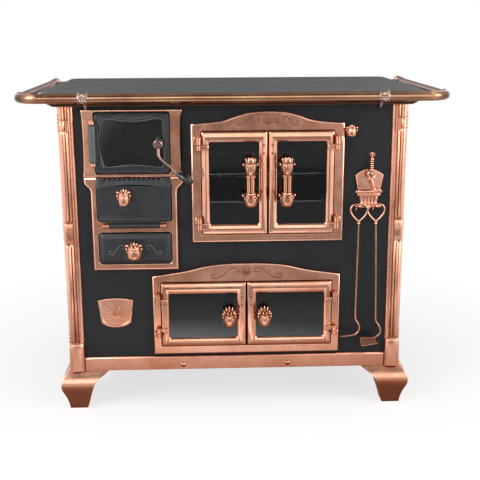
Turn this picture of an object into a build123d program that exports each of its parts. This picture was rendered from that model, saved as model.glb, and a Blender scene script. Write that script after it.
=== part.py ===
"""Freestanding wood cookstove: firebox, ash drawer, twin-door oven, twin-door cupboard, towel rail.

Millimetres, +X to the viewer's right, +Y to the rear, +Z up. Everything is built with Y = 0 at the
front edge of the cooking plate and moved at the end, so that the origin is under the middle of the
stove's box, on the floor.
"""
from math import cos, pi, radians, sin
import os

from build123d import *

# ---- top and body
TOP_HEIGHT = 860.0           # cooking surface above the floor
PLATE_WIDTH, PLATE_DEPTH, PLATE_T, PLATE_CORNER = 976.0, 560.0, 6.0, 25.0
CORNICE_H, CORNICE_INSET, CORNICE_RING = 30.0, 4.0, 46.0
COVE_OUT, COVE_UP = 30.0, 18.0
PLATE_SIDE, PLATE_BACK = 38.0, 12.0    # plate beyond the posts and the back panel
POST_WIDTH, POST_STRIP, POST_DEPTH = 42.0, 12.0, 44.0
POST_FACE, POST_PAD = 8.0, 4.0
POST_EDGE_R = 12.0
POST_BASE_H, POST_BASE_OUT = 78.0, 0.5
FOOT_H = 108.0
FOOT_SET = 16.0
PANEL_FACE, PANEL_T, SIDE_T = 20.0, 4.0, 4.0
SIDE_INSET = 4.0
FRAME_T = 12.0               # cast door surrounds, proud of the front panel
PLINTH_H, PLINTH_T, BOLT_R, BOLT_X = 38.0, 8.0, 7.0, 143.0

# ---- rail
RAIL_R, RAIL_WALL, RAIL_DROP, RAIL_OUT = 12.5, 2.0, 12.0, 36.0
RAIL_SIDE, ELBOW_R = 51.6, 50.0   # side rods out from the plate
ROD_R, ROD_KNOB_R = 8.0, 13.0
COLLAR_R, COLLAR_L = 13.5, 8.0
BRACKET_INSET, BRACKET_W, BRACKET_WALL, BRACKET_REAR = 114.0, 26.0, 2.6, 30.0
BRACKET_STEM_R, ROSETTE_R = 7.0, 12.0
GRIP_GAP = 0.05              # rail brackets on the tube

# ---- clearances
DOOR_GAP = 2.0               # door edge to its surround
SEAT_GAP = 2.0               # door back to the front panel
MEET_GAP = 3.4               # between two doors of a pair
PIN_GAP = 0.06               # pin in its knuckle, on the radius
END_GAP = 0.4                # between knuckles along the pin
GLASS_GAP = 1.0              # pane in its rebate, all round

# ---- fire door group
FIRE_MARGIN, FIRE_TOP_HALF, FIRE_STILE, FIRE_WAIST = 18.5, 128.5, 33.5, 4.0
FIRE_DROP, FIRE_HEAD, FIRE_SILL, FIRE_JOINT_UP = 9.0, 7.0, 9.0, 23.0
FLAP_SHARE = 0.376           # flap's part of the height that flap and fire door share
DOOR_FACE, DOOR_T = 0.0, 18.0
FIRE_WINDOW_STILE, FIRE_WINDOW_LOW, FIRE_WINDOW_TOP = 19.0, 16.0, 13.0
FIRE_WINDOW_DIP, FIRE_WINDOW_BULGE, FIRE_WINDOW_SWELL = 8.0, 7.0, 47 / 127
FIRE_LAP = 10.0              # door over the edge of the panel's mouth
FIRE_PIN_R, FIRE_BARREL_R, FIRE_LUG_R = 4.0, 10.0, 7.0
FIRE_HINGE_OUT, FIRE_HINGE_SIDE = 6.0, 4.0
FIRE_BARREL_LOW, FIRE_BARREL_TOP, FIRE_LUG_H = 31.0, 29.0, 9.0
LATCH_INSET, LATCH_R, LATCH_BOSS_R = 28.0, 5.0, 13.0
LATCH_STANDOFF, LEVER_R = 22.0, 4.2
CAM_R, CAM_T = 14.0, 3.0
LOWER_INSET, LOWER_WAIST_DROP, LOWER_LIFT = 16.5, 41.0, 19.0
FLAP_LIFT, FLAP_T, FLAP_FACE, FLAP_KNOB_X, FLAP_KNOB_DROP = 32.0, 8.0, 2.0, 24.0, 33.0
FLAP_PIN_DROP, FLAP_PIN_OUT, FLAP_PIN_R, FLAP_BARREL_R = 10.0, 4.0, 3.0, 6.5
FLAP_BARREL_HALF, FLAP_LUG_W = 66.0, 15.0
DRAWER_INSET, DRAWER_LIFT, DRAWER_H, DRAWER_FRONT_T = 1.0, 19.0, 82.0, 14.0
DRAWER_KNOB_X, DRAWER_KNOB_UP = 2.0, 34.0
TRAY_INSET, TRAY_LIFT, TRAY_DROP, TRAY_L, TRAY_WALL = 16.0, 9.0, 10.0, 330.0, 3.0
TRAY_GAP = 3.0
NOTCHES, NOTCH_PITCH, NOTCH_W, NOTCH_H = 12, 12.45, 6.5, 4.0
NOTCH_OFF, VISOR_OUT = 3.5, 9.0   # row of notches left of the middle; hood over the flap, proud of the frame

# ---- firebox
FIREBOX_SIDE, FIREBOX_DEPTH, FIREBOX_WALL = 17.0, 310.0, 5.0
FIREBOX_SINK, FIREBOX_DROP, SMOKE_H = 6.0, 12.0, 70.0
BRICK_T, BRICK_SEAT, BRICK_JOINT = 25.0, 2.0, 0.5
GRATE_LIFT, GRATE_T, GRATE_BARS, GRATE_LEDGE, GRATE_RIM, GRATE_GAP = 8.0, 12.0, 9, 12.0, 18.0, 2.0
ASH_BOX_SIDE, ASH_BOX_DEPTH, ASH_BOX_LIFT, ASH_BOX_WALL = 12.0, 380.0, 11.0, 4.0

# ---- oven
COLUMN_GAP, TOOL_BAY = 21.0, 122.5     # fire to oven surround; oven surround to the right post
OVEN_LIFT, OVEN_DROP = 92.0, 46.0      # surround above the cupboard's and below the cornice
OVEN_STILE, OVEN_SILL, OVEN_HEAD = 27.0, 22.0, 20.0
OVEN_ARCH = [(121.5, 7.0), (80.0, 20.0), (45.0, 29.0), (0.0, 32.0)]    # above the surround's shoulders
OVEN_STILE_OUT, OVEN_STILE_IN, OVEN_RAIL = 20.0, 22.0, 27.0
DOOR_LAP = 12.0
PANE_T, PANE_SEAT = 4.0, 6.0
HINGE_SIDE, HINGE_OUT, KNUCKLE_R, PIN_R = 7.5, 6.0, 7.0, 3.0
HANDLE_X, HANDLE_OUT, HANDLE_DROP = 47.0, 30.0, 56.0
STUD_R, STUD_GAP, STUD_NUT_R, STUD_NUT_T = 4.5, 1.0, 9.0, 4.0
OVEN_BOX_DEPTH, OVEN_BOX_WALL, OVEN_BOX_LAP = 436.0, 4.0, 6.0
RACK_UP, RACK_WIRE, RACK_GAP, RACK_BARS = (77.0, 152.0), 3.0, 3.0, 11
RUNNER_W = 9.0

# ---- cupboard
CUP_LEFT, CUP_RIGHT, CUP_LIFT = 41.0, 4.5, 9.0      # edges from the fire's middle and the oven's side
CUP_STILE, CUP_SILL, CUP_HEAD, CUP_DOOR_H = 22.0, 23.0, 18.0, 178.0
CUP_ARCH = [(158.5, 14.0), (107.0, 26.0), (54.0, 32.0), (0.0, 33.0)]   # above the surround's shoulders
CUP_STILE_OUT, CUP_STILE_IN, CUP_RAIL_TOP, CUP_RAIL_LOW = 21.0, 24.0, 31.0, 23.0
CUP_KNOB_X, CUP_KNOB_UP = 47.0, 77.0
CUP_BOX_DEPTH, CUP_BOX_WALL, CUP_BOX_LAP = 436.0, 3.0, 5.0

# ---- flue and damper
FLUE_X, FLUE_DROP, FLUE_R, FLUE_WALL, FLUE_OUT = 0.0, 86.0, 60.0, 3.0, 52.0
FLUE_FLANGE_R, FLUE_FLANGE_T = 74.0, 4.0
DAMPER_INSET, DAMPER_DROP, DAMPER_ROD_R, DAMPER_ROD_L = 107.0, 69.0, 4.0, 430.0
DAMPER_W, DAMPER_UP, DAMPER_DOWN, DAMPER_T = 76.0, 34.0, 50.0, 3.0
DAMPER_OUT, DAMPER_NECK_R, DAMPER_HEAD_R = 14.0, 7.0, 13.0

# ---- ornament plates and tools
BADGE_INSET, BADGE_LIFT, BADGE_T = 87.5, 122.0, 5.0
BADGE = [(-47.5, 77.0), (0.0, 83.0), (47.5, 77.0), (40.0, 14.0), (0.0, 0.0), (-40.0, 14.0)]
PLAQUE_INSET, PLAQUE_LIFT, PLAQUE_T = 55.0, 434.0, 6.0
PLAQUE = [(-36, 98), (-8, 113), (8, 113), (36, 98), (29, 62), (34, 61), (34, 43), (23, 43),
          (24, 22), (34, 14), (34, 0), (-34, 0), (-34, 14), (-24, 22), (-23, 43),
          (-34, 43), (-34, 61), (-29, 62)]
PEG_R, PEG_LEN, PEG_RISE = 3.5, 34.0, 30.0
TOOL_V = -6.0                # plane in which the hung tools lie
POKER_OFF, SHOVEL_OFF, LIFTER_OFF = -28.0, 17.0, 2.0
TOOL_PEG_UP, LIFTER_PEG_UP = 6.0, 92.0
LOOP_WIRE, TOOL_ROD = 2.3, 3.4
HANG_GAP = 0.3
BLADE_T = 2.5

BODY_HALF = PLATE_WIDTH / 2 - PLATE_SIDE   # outer face of the corner posts from the middle
BODY_BACK = PLATE_DEPTH - PLATE_BACK       # rear face of the back panel
CORNICE_Z = TOP_HEIGHT - PLATE_T
BODY_TOP = CORNICE_Z - CORNICE_H
PANEL_HALF = BODY_HALF - POST_WIDTH
SIDE_OUT = BODY_HALF - SIDE_INSET
PANEL_BACK = PANEL_FACE + PANEL_T
FRAME_FACE = PANEL_FACE - FRAME_T
DOOR_BACK = DOOR_FACE + DOOR_T
HINGE_V = DOOR_FACE - HINGE_OUT
POST_BACK = POST_FACE + POST_DEPTH
POST_BASE_Z = FOOT_H + POST_BASE_H
RAIL_Z = TOP_HEIGHT - RAIL_DROP
RAIL_HALF = PLATE_WIDTH / 2 + RAIL_SIDE
ROD_END = PLATE_DEPTH
BRACKET_X = PLATE_WIDTH / 2 - BRACKET_INSET
PANE_BACK = DOOR_FACE + PANE_SEAT + PANE_T
FLAP_PIN_V = FLAP_FACE - FLAP_PIN_OUT
FIRE_X = -(PANEL_HALF - FIRE_MARGIN - FIRE_TOP_HALF)
OVEN_LEFT = FIRE_X + FIRE_TOP_HALF + COLUMN_GAP
OVEN_RIGHT = PANEL_HALF - TOOL_BAY
OVEN_X, OVEN_FRAME_HALF = (OVEN_LEFT + OVEN_RIGHT) / 2, (OVEN_RIGHT - OVEN_LEFT) / 2
OVEN_HALF = OVEN_FRAME_HALF - OVEN_STILE
CUP_X0, CUP_X1 = FIRE_X + CUP_LEFT, OVEN_RIGHT - CUP_RIGHT
CUP_X, CUP_FRAME_HALF = (CUP_X0 + CUP_X1) / 2, (CUP_X1 - CUP_X0) / 2
CUP_HALF = CUP_FRAME_HALF - CUP_STILE
BADGE_X, PLAQUE_X, DAMPER_X = BADGE_INSET - PANEL_HALF, PANEL_HALF - PLAQUE_INSET, PANEL_HALF - DAMPER_INSET
POKER_X, SHOVEL_X, LIFTER_X = PLAQUE_X + POKER_OFF, PLAQUE_X + SHOVEL_OFF, PLAQUE_X + LIFTER_OFF

# heights, from the floor up: cupboard, then the oven to the right and the fire to the left
CUP_FRAME_Z0 = FOOT_H + PLINTH_H + CUP_LIFT
CUP_Z0 = CUP_FRAME_Z0 + CUP_SILL
CUP_Z1 = CUP_Z0 + CUP_DOOR_H
CUP_FRAME_Z1 = CUP_Z1 + CUP_HEAD
OVEN_FRAME_Z0, OVEN_FRAME_Z1 = CUP_FRAME_Z1 + OVEN_LIFT, BODY_TOP - OVEN_DROP
OVEN_Z0, OVEN_Z1 = OVEN_FRAME_Z0 + OVEN_SILL, OVEN_FRAME_Z1 - OVEN_HEAD
LOWER_Z0 = CUP_FRAME_Z1 + LOWER_LIFT
DRAWER_Z0 = LOWER_Z0 + DRAWER_LIFT
DRAWER_Z1 = DRAWER_Z0 + DRAWER_H
FLAP_Z0 = DRAWER_Z1 + FLAP_LIFT
FIRE_TOP_Z = BODY_TOP - FIRE_DROP
FIRE_DOOR_Z1 = FIRE_TOP_Z - FIRE_HEAD
FLAP_Z1 = FLAP_Z0 + FLAP_SHARE * (FIRE_DOOR_Z1 - FIRE_SILL - FIRE_JOINT_UP - FLAP_Z0)
FLAP_PIN_Z = FLAP_Z0 - FLAP_PIN_DROP
FIRE_JOINT_Z = FLAP_Z1 + FIRE_JOINT_UP
FIRE_DOOR_Z0 = FIRE_JOINT_Z + FIRE_SILL
LOWER_WAIST_Z = FIRE_JOINT_Z - LOWER_WAIST_DROP
FIREBOX_Z0, FIREBOX_Z1 = FLAP_Z0 - FIREBOX_SINK, BODY_TOP - FIREBOX_DROP
GRATE_Z = FLAP_Z1 + GRATE_LIFT
BRICK_Z0, BRICK_Z1 = GRATE_Z + GRATE_T + BRICK_SEAT, FIREBOX_Z1 - SMOKE_H
TRAY_Z0, TRAY_Z1 = DRAWER_Z0 + TRAY_LIFT, DRAWER_Z1 - TRAY_DROP
ASH_BOX_Z0 = LOWER_Z0 + ASH_BOX_LIFT
FLUE_Z, DAMPER_Z = BODY_TOP - FLUE_DROP, BODY_TOP - DAMPER_DROP
BADGE_Z, PLAQUE_Z = FOOT_H + BADGE_LIFT, FOOT_H + PLAQUE_LIFT
TOOL_PEG_Z, LIFTER_PEG_Z = PLAQUE_Z + TOOL_PEG_UP, PLAQUE_Z + LIFTER_PEG_UP

FIRE_DOOR_HALF = FIRE_TOP_HALF - FIRE_STILE
FLAP_HALF = FIRE_DOOR_HALF
DRAWER_HALF = FIRE_DOOR_HALF - DRAWER_INSET
TRAY_HALF = DRAWER_HALF - TRAY_INSET
LOWER_HALF = FIRE_TOP_HALF - LOWER_INSET
FIREBOX_HALF = FIRE_DOOR_HALF + FIREBOX_SIDE
ASH_BOX_HALF = TRAY_HALF + ASH_BOX_SIDE
FIRE_WINDOW_HALF = FIRE_DOOR_HALF - FIRE_WINDOW_STILE
FIRE_WINDOW_Z0, FIRE_WINDOW_Z1 = FIRE_DOOR_Z0 + FIRE_WINDOW_LOW, FIRE_DOOR_Z1 - FIRE_WINDOW_TOP
FIRE_BARREL_Z0, FIRE_BARREL_Z1 = FIRE_DOOR_Z0 + FIRE_BARREL_LOW, FIRE_DOOR_Z1 - FIRE_BARREL_TOP
LATCH_X, LATCH_Z = FIRE_X + FIRE_DOOR_HALF - LATCH_INSET, (FIRE_DOOR_Z0 + FIRE_DOOR_Z1) / 2
HANDLE_Z = (OVEN_Z0 + OVEN_Z1) / 2 - HANDLE_DROP
CUP_KNOB_Z = CUP_Z0 + CUP_KNOB_UP
FIRE_HINGE_X = FIRE_X - FIRE_DOOR_HALF - FIRE_HINGE_SIDE
FIRE_HINGE_V = DOOR_FACE - FIRE_HINGE_OUT


def block(x0, x1, y0, y1, z0, z1):
    """Upright box between two corners."""
    return Pos((x0 + x1) / 2, (y0 + y1) / 2, (z0 + z1) / 2) * Box(abs(x1 - x0), abs(y1 - y0), abs(z1 - z0))


def rod(start, direction, radius, length):
    """Round bar from a point along a direction."""
    seat = Plane(origin=start, z_dir=direction)
    return seat * Cylinder(radius, length, align=(Align.CENTER, Align.CENTER, Align.MIN))


def slab(points, y0, y1):
    """Closed outline in X and Z, solid from y0 to y1."""
    edge = Polyline(*[(x, y1, z) for x, z in points], close=True)
    return extrude(make_face(edge), amount=y1 - y0, dir=(0, -1, 0))


def wavy_slab(points, y0, y1):
    """Smooth closed outline in X and Z, solid from y0 to y1."""
    edge = Spline(*[(x, y1, z) for x, z in points], periodic=True)
    return extrude(make_face(edge), amount=y1 - y0, dir=(0, -1, 0))


def turned(profile, x, y):
    """Solid of revolution about an upright axis, from (radius, height) points."""
    low, high = profile[0][1], profile[-1][1]
    edge = Polyline((0, low), *profile, (0, high), close=True)
    face = Plane.XZ * make_face(edge)
    return Pos(x, y, 0) * revolve(face, Axis.Z)


def bent_wire(points, radius, closed=False):
    """Round wire through a chain of points."""
    ends = points[1:] + points[:1] if closed else points[1:]
    wire = None
    for a, b in zip(points, ends):
        run = Vector(b) - Vector(a)
        piece = rod(a, run, radius, run.length) + Pos(*b) * Sphere(radius)
        wire = piece if wire is None else wire + piece
    return wire if closed else wire + Pos(*points[0]) * Sphere(radius)


def tray_box(x0, x1, y0, y1, z0, z1, wall):
    """Five-walled box with its mouth at y0."""
    return block(x0, x1, y0, y1, z0, z1) - block(x0 + wall, x1 - wall, y0 - 1, y1 - wall, z0 + wall, z1 - wall)


# ---- top
def cooking_plate():
    body = block(-PLATE_WIDTH / 2, PLATE_WIDTH / 2, 0, PLATE_DEPTH, CORNICE_Z, TOP_HEIGHT)
    body = fillet(body.edges().filter_by(Axis.Z), PLATE_CORNER)
    return chamfer(body.faces().sort_by(Axis.Z)[-1].edges(), 1.5)


def cornice():
    half = PLATE_WIDTH / 2 - CORNICE_INSET
    back = PLATE_DEPTH - CORNICE_INSET
    body = block(-half, half, 1.0, back, BODY_TOP, CORNICE_Z)
    body = fillet(body.edges().filter_by(Axis.Z), PLATE_CORNER - CORNICE_INSET)
    for side in (-1, 1):
        cove = [(side * (half + 1), BODY_TOP - 1), (side * (half + 1), BODY_TOP + COVE_UP),
                (side * (half - COVE_OUT / 3), BODY_TOP + COVE_UP * 0.45), (side * (half - COVE_OUT), BODY_TOP - 1)]
        body -= slab(cove, -1, back + 1)
    ring = CORNICE_RING
    return body - block(-half + ring, half - ring, 1.0 + ring, back - ring, BODY_TOP - 1, CORNICE_Z + 1)


# ---- posts, feet and panels
BAND_LINES = [360.0, 303.0, 65.0, 38.0]     # grooves between the raised panels, below the cornice
BAND_GROOVE = 4.0
BAND_EDGES = [POST_BASE_Z] + [BODY_TOP - drop for drop in BAND_LINES] + [BODY_TOP]


def post(side):
    """Front corner post with raised panels on its face; side is -1 left, 1 right."""
    inner, outer = PANEL_HALF, BODY_HALF
    core = block(inner + POST_STRIP, outer, POST_FACE, POST_BACK, FOOT_H, BODY_TOP)
    core = fillet(core.edges().filter_by(Axis.Z).sort_by(Axis.Y)[:2].sort_by(Axis.X)[-1:], POST_EDGE_R)
    core += block(inner, inner + POST_STRIP, POST_FACE + 6, POST_BACK, FOOT_H, BODY_TOP)
    for low, high in zip(BAND_EDGES, BAND_EDGES[1:]):
        top = high - BAND_GROOVE if high == BODY_TOP else high
        core += block(inner + POST_STRIP + 3, outer - POST_EDGE_R + 3, POST_FACE - POST_PAD, POST_FACE,
                      low + BAND_GROOVE, top)
    core += block(inner + 1, outer + POST_BASE_OUT, POST_FACE - POST_PAD - 1,
                  POST_BACK, FOOT_H, POST_BASE_Z)
    return core if side > 0 else mirror(core, Plane.YZ)


# outlines: distance out from the body's side, and height drawn for a leg of FOOT_DRAWN
FOOT_OUTER = [(5, 108), (14, 99), (21, 86), (24, 72), (22, 58), (16, 43), (9, 22), (5, 0)]
FOOT_INNER = [(-43, 0), (-49, 24), (-56, 46), (-62, 65), (-70, 80), (-85, 94), (-105, 108)]
FOOT_DRAWN = FOOT_OUTER[0][1]


def foot_face(place):
    """The leg's outline, laid in space by the given function of width and height."""
    rise = FOOT_H / FOOT_DRAWN
    knee = [place(BODY_HALF + x, z * rise) for x, z in FOOT_OUTER]
    hollow = [place(BODY_HALF + x, z * rise) for x, z in FOOT_INNER]
    outer, pad = Spline(*knee), Line(knee[-1], hollow[0])
    inner, top = Spline(*hollow), Line(hollow[-1], knee[0])
    return make_face([outer, pad, inner, top])


def foot(side, rear):
    """Curved leg: knee outwards and forwards, tapering to a small pad."""
    front_view = extrude(foot_face(lambda x, z: (x, 160, z)), amount=220, dir=(0, -1, 0))
    shift = BODY_HALF + FOOT_SET
    side_view = extrude(foot_face(lambda x, z: (BODY_HALF - 110, shift - x, z)), amount=160, dir=(1, 0, 0))
    leg = front_view & side_view
    if rear:
        leg = mirror(leg, Plane(origin=(0, (POST_FACE - POST_PAD + BODY_BACK) / 2, 0), z_dir=(0, 1, 0)))
    return leg if side > 0 else mirror(leg, Plane.YZ)


def mouth(x, half, z0, z1, lap):
    """Opening in the front panel behind a door, smaller than the door by the lap."""
    return block(x - half + lap, x + half - lap, PANEL_FACE - 1, PANEL_BACK + 1, z0 + lap, z1 - lap)


def front_panel():
    body = block(-PANEL_HALF, PANEL_HALF, PANEL_FACE, PANEL_BACK, FOOT_H, BODY_TOP)
    body -= mouth(FIRE_X, FIRE_DOOR_HALF, FIRE_DOOR_Z0, FIRE_DOOR_Z1, FIRE_LAP)
    body -= mouth(FIRE_X, FLAP_HALF, FLAP_Z0, FLAP_Z1, FIRE_LAP)
    body -= block(FIRE_X - TRAY_HALF - TRAY_GAP, FIRE_X + TRAY_HALF + TRAY_GAP, PANEL_FACE - 1, PANEL_BACK + 1,
                  TRAY_Z0 - TRAY_GAP, TRAY_Z1 + TRAY_GAP)
    body -= mouth(OVEN_X, OVEN_HALF, OVEN_Z0, OVEN_Z1, DOOR_LAP)
    body -= mouth(CUP_X, CUP_HALF, CUP_Z0, CUP_Z1, DOOR_LAP)
    return body - rod((DAMPER_X, PANEL_FACE - 1, DAMPER_Z), (0, 1, 0), DAMPER_ROD_R + PIN_GAP, PANEL_T + 2)


def side_panel(side):
    body = block(SIDE_OUT - SIDE_T, SIDE_OUT, POST_BACK, BODY_BACK, FOOT_H + SIDE_T, BODY_TOP)
    return body if side > 0 else mirror(body, Plane.YZ)


def back_panel():
    half = SIDE_OUT - SIDE_T
    body = block(-half, half, BODY_BACK - SIDE_T, BODY_BACK, FOOT_H + SIDE_T, BODY_TOP)
    return body - rod((FLUE_X, BODY_BACK - SIDE_T - 1, FLUE_Z), (0, 1, 0), FLUE_R + GRIP_GAP, SIDE_T + 2)


def floor_pan():
    body = block(-SIDE_OUT, SIDE_OUT, PANEL_BACK, BODY_BACK, FOOT_H, FOOT_H + SIDE_T)
    for side in (-1, 1):
        body -= block(side * PANEL_HALF, side * (SIDE_OUT + 1), PANEL_BACK - 1, POST_BACK,
                      FOOT_H - 1, FOOT_H + SIDE_T + 1)
    return body


def front_plinth():
    body = block(-PANEL_HALF, PANEL_HALF, PANEL_FACE - PLINTH_T, PANEL_FACE, FOOT_H, FOOT_H + PLINTH_H)
    top = body.edges().filter_by(Axis.X).group_by(Axis.Y)[0].sort_by(Axis.Z)[-1]
    return chamfer(top, 3.0)


def plinth_bolts():
    heads = []
    for side in (-1, 1):
        seat = Plane(origin=(side * BOLT_X, PANEL_FACE - PLINTH_T, FOOT_H + 13), z_dir=(0, -1, 0))
        heads.append(seat * Cylinder(BOLT_R, 4.0, align=(Align.CENTER, Align.CENTER, Align.MIN)))
    return heads


# ---- rail
def front_rail():
    y = -RAIL_OUT
    straight = RAIL_HALF - ELBOW_R
    left = ThreePointArc((-RAIL_HALF, y + ELBOW_R, RAIL_Z),
                         (-straight - ELBOW_R * cos(pi / 4), y + ELBOW_R - ELBOW_R * sin(pi / 4), RAIL_Z),
                         (-straight, y, RAIL_Z))
    middle = Line((-straight, y, RAIL_Z), (straight, y, RAIL_Z))
    right = ThreePointArc((straight, y, RAIL_Z),
                          (straight + ELBOW_R * cos(pi / 4), y + ELBOW_R - ELBOW_R * sin(pi / 4), RAIL_Z),
                          (RAIL_HALF, y + ELBOW_R, RAIL_Z))
    path = Wire([left.edge(), middle.edge(), right.edge()])
    start = Plane(origin=path @ 0, z_dir=path % 0)
    return sweep(start * Circle(RAIL_R), path) - sweep(start * Circle(RAIL_R - RAIL_WALL), path)


def side_rail(side):
    y0 = ELBOW_R - RAIL_OUT
    x = side * RAIL_HALF
    body = rod((x, y0, RAIL_Z), (0, 1, 0), COLLAR_R, COLLAR_L)
    body += rod((x, y0 + COLLAR_L, RAIL_Z), (0, 1, 0), ROD_R, ROD_END - y0 - COLLAR_L)
    body += rod((x, ROD_END - 6, RAIL_Z), (0, 1, 0), ROD_R + 2.5, 5)
    return body + Pos(x, ROD_END + ROD_KNOB_R - 3, RAIL_Z) * Sphere(ROD_KNOB_R)


def rail_brackets():
    pieces = []
    for side in (-1, 1):
        x = side * BRACKET_X
        ring = rod((x - BRACKET_W / 2, -RAIL_OUT, RAIL_Z), (1, 0, 0), RAIL_R + BRACKET_WALL, BRACKET_W)
        stem = rod((x, -RAIL_OUT, RAIL_Z - 3), (0, 1, 0), BRACKET_STEM_R, RAIL_OUT + 1.0)
        ring += stem + rod((x, -RAIL_OUT - RAIL_R - BRACKET_WALL - 3, RAIL_Z), (0, 1, 0), ROSETTE_R, 8)
        pieces.append(ring - rod((x - BRACKET_W, -RAIL_OUT, RAIL_Z), (1, 0, 0), RAIL_R + GRIP_GAP, 2 * BRACKET_W))
    edge = PLATE_WIDTH / 2 - CORNICE_INSET
    for side in (-1, 1):
        arm = rod((side * edge, PLATE_DEPTH - BRACKET_REAR, RAIL_Z), (side, 0, 0), 4.5, RAIL_HALF - edge)
        arm += rod((side * RAIL_HALF, PLATE_DEPTH - BRACKET_REAR - 9, RAIL_Z), (0, 1, 0), ROD_R + 3, 18)
        bore = rod((side * RAIL_HALF, PLATE_DEPTH - BRACKET_REAR - 20, RAIL_Z), (0, 1, 0), ROD_R + GRIP_GAP, 40)
        pieces.append(arm - bore)
    return pieces


# ---- surrounds
def fire_lug(z0, z1):
    lug = rod((FIRE_HINGE_X, FIRE_HINGE_V, z0), (0, 0, 1), FIRE_LUG_R, z1 - z0)
    return lug + block(FIRE_HINGE_X - FIRE_LUG_R, FIRE_HINGE_X + 1, FIRE_HINGE_V, FRAME_FACE, z0, z1)


def fire_frame_upper():
    half, waist = FIRE_TOP_HALF, FIRE_TOP_HALF - FIRE_WAIST
    z0, z1 = FIRE_JOINT_Z, FIRE_TOP_Z
    zs = [z0 + (z1 - z0) * t for t in (0.12, 0.5, 0.88)]
    outline = [(half, z0)] + [(waist + d, z) for z, d in zip(zs, (1.5, 0, 1.5))] + [(half, z1)]
    outline += [(-x, z) for x, z in reversed(outline)]
    body = slab([(FIRE_X + x, z) for x, z in outline], FRAME_FACE, PANEL_FACE)
    gap = FIRE_DOOR_HALF + DOOR_GAP
    body -= block(FIRE_X - gap, FIRE_X + gap, -50, 50, FIRE_DOOR_Z0 - DOOR_GAP, FIRE_DOOR_Z1 + DOOR_GAP)
    body += fire_lug(FIRE_BARREL_Z1 + END_GAP, FIRE_BARREL_Z1 + END_GAP + FIRE_LUG_H)
    body += fire_lug(FIRE_BARREL_Z0 - END_GAP - FIRE_LUG_H, FIRE_BARREL_Z0 - END_GAP)
    low = FIRE_BARREL_Z0 - END_GAP - FIRE_LUG_H
    return body + rod((FIRE_HINGE_X, FIRE_HINGE_V, low), (0, 0, 1), FIRE_PIN_R,
                      FIRE_BARREL_Z1 - FIRE_BARREL_Z0 + 2 * (END_GAP + FIRE_LUG_H) + 4)


def fire_frame_lower():
    top = FIRE_JOINT_Z - END_GAP
    ogee = [(LOWER_HALF, LOWER_WAIST_Z), (LOWER_HALF + 3, LOWER_WAIST_Z + 10), (FIRE_TOP_HALF - 2, LOWER_WAIST_Z + 22),
            (FIRE_TOP_HALF, LOWER_WAIST_Z + 34)]
    edges = []
    for side in (-1, 1):
        sweep_out = [(FIRE_X + side * x, PANEL_FACE, z) for x, z in ogee]
        edges.append(Spline(*sweep_out, tangents=[(0, 0, 1), (0, 0, 1)]))
        edges.append(Line(sweep_out[-1], (FIRE_X + side * FIRE_TOP_HALF, PANEL_FACE, top)))
        edges.append(Line(sweep_out[0], (FIRE_X + side * LOWER_HALF, PANEL_FACE, LOWER_Z0)))
    for z, half in ((top, FIRE_TOP_HALF), (LOWER_Z0, LOWER_HALF)):
        edges.append(Line((FIRE_X - half, PANEL_FACE, z), (FIRE_X + half, PANEL_FACE, z)))
    body = extrude(make_face(edges), amount=FRAME_T, dir=(0, -1, 0))
    gap = FLAP_HALF + DOOR_GAP
    body -= block(FIRE_X - gap, FIRE_X + gap, -50, 50, FLAP_Z0 - DOOR_GAP, FLAP_Z1 + DOOR_GAP)
    gap = DRAWER_HALF + DOOR_GAP
    body -= block(FIRE_X - gap, FIRE_X + gap, -50, 50, DRAWER_Z0 - DOOR_GAP, DRAWER_Z1 + DOOR_GAP)
    body += block(FIRE_X - gap, FIRE_X + gap, FRAME_FACE - VISOR_OUT, FRAME_FACE, FLAP_Z1 + DOOR_GAP, top - NOTCH_H)
    for k in range(NOTCHES):
        x = FIRE_X - NOTCH_OFF + (k - (NOTCHES - 1) / 2) * NOTCH_PITCH
        body -= block(x - NOTCH_W / 2, x + NOTCH_W / 2, FRAME_FACE - 1, FRAME_FACE + 8, top - NOTCH_H, top + 1)
    for side in (-1, 1):
        x0 = FIRE_X + side * (FLAP_BARREL_HALF + END_GAP)
        x1 = x0 + side * FLAP_LUG_W
        body += rod((x0, FLAP_PIN_V, FLAP_PIN_Z), (side, 0, 0), FLAP_BARREL_R, FLAP_LUG_W)
        body += block(x0, x1, FLAP_PIN_V, FRAME_FACE, FLAP_PIN_Z - FLAP_BARREL_R, FLAP_PIN_Z + FLAP_BARREL_R)
    half = FLAP_BARREL_HALF + FLAP_LUG_W
    return body + rod((FIRE_X - half, FLAP_PIN_V, FLAP_PIN_Z), (1, 0, 0), FLAP_PIN_R, 2 * half)


def arched_frame(x, half, z0, z1, arch, door_half, door_z0, door_z1):
    """Flat cast surround with a swept-up head, open for a pair of doors."""
    right = [(half, z1)] + [(px, z1 + rise) for px, rise in arch]
    crest = [(x + px, PANEL_FACE, pz) for px, pz in right + [(-px, pz) for px, pz in reversed(right[:-1])]]
    foot_line = [crest[-1], (x - half, PANEL_FACE, z0), (x + half, PANEL_FACE, z0), crest[0]]
    head = make_face([Spline(*crest), Polyline(*foot_line)])
    body = extrude(head, amount=FRAME_T, dir=(0, -1, 0))
    gap = door_half + DOOR_GAP
    return body - block(x - gap, x + gap, -50, 50, door_z0 - DOOR_GAP, door_z1 + DOOR_GAP)


def hinge_heights(z0, z1, low, high):
    """Top and bottom hinge, each (fixed knuckle low, high, moving knuckle low, high) in Z."""
    return [tuple(z1 - drop for drop in high), tuple(z0 + up for up in low)]


OVEN_HINGES = hinge_heights(OVEN_Z0, OVEN_Z1, (32.0, 47.0, 14.0, 31.5), (32.5, 12.0, 47.0, 33.0))
CUP_HINGES = hinge_heights(CUP_Z0, CUP_Z1, (30.0, 41.0, 41.5, 53.0), (42.5, 30.0, 55.0, 43.0))


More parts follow.
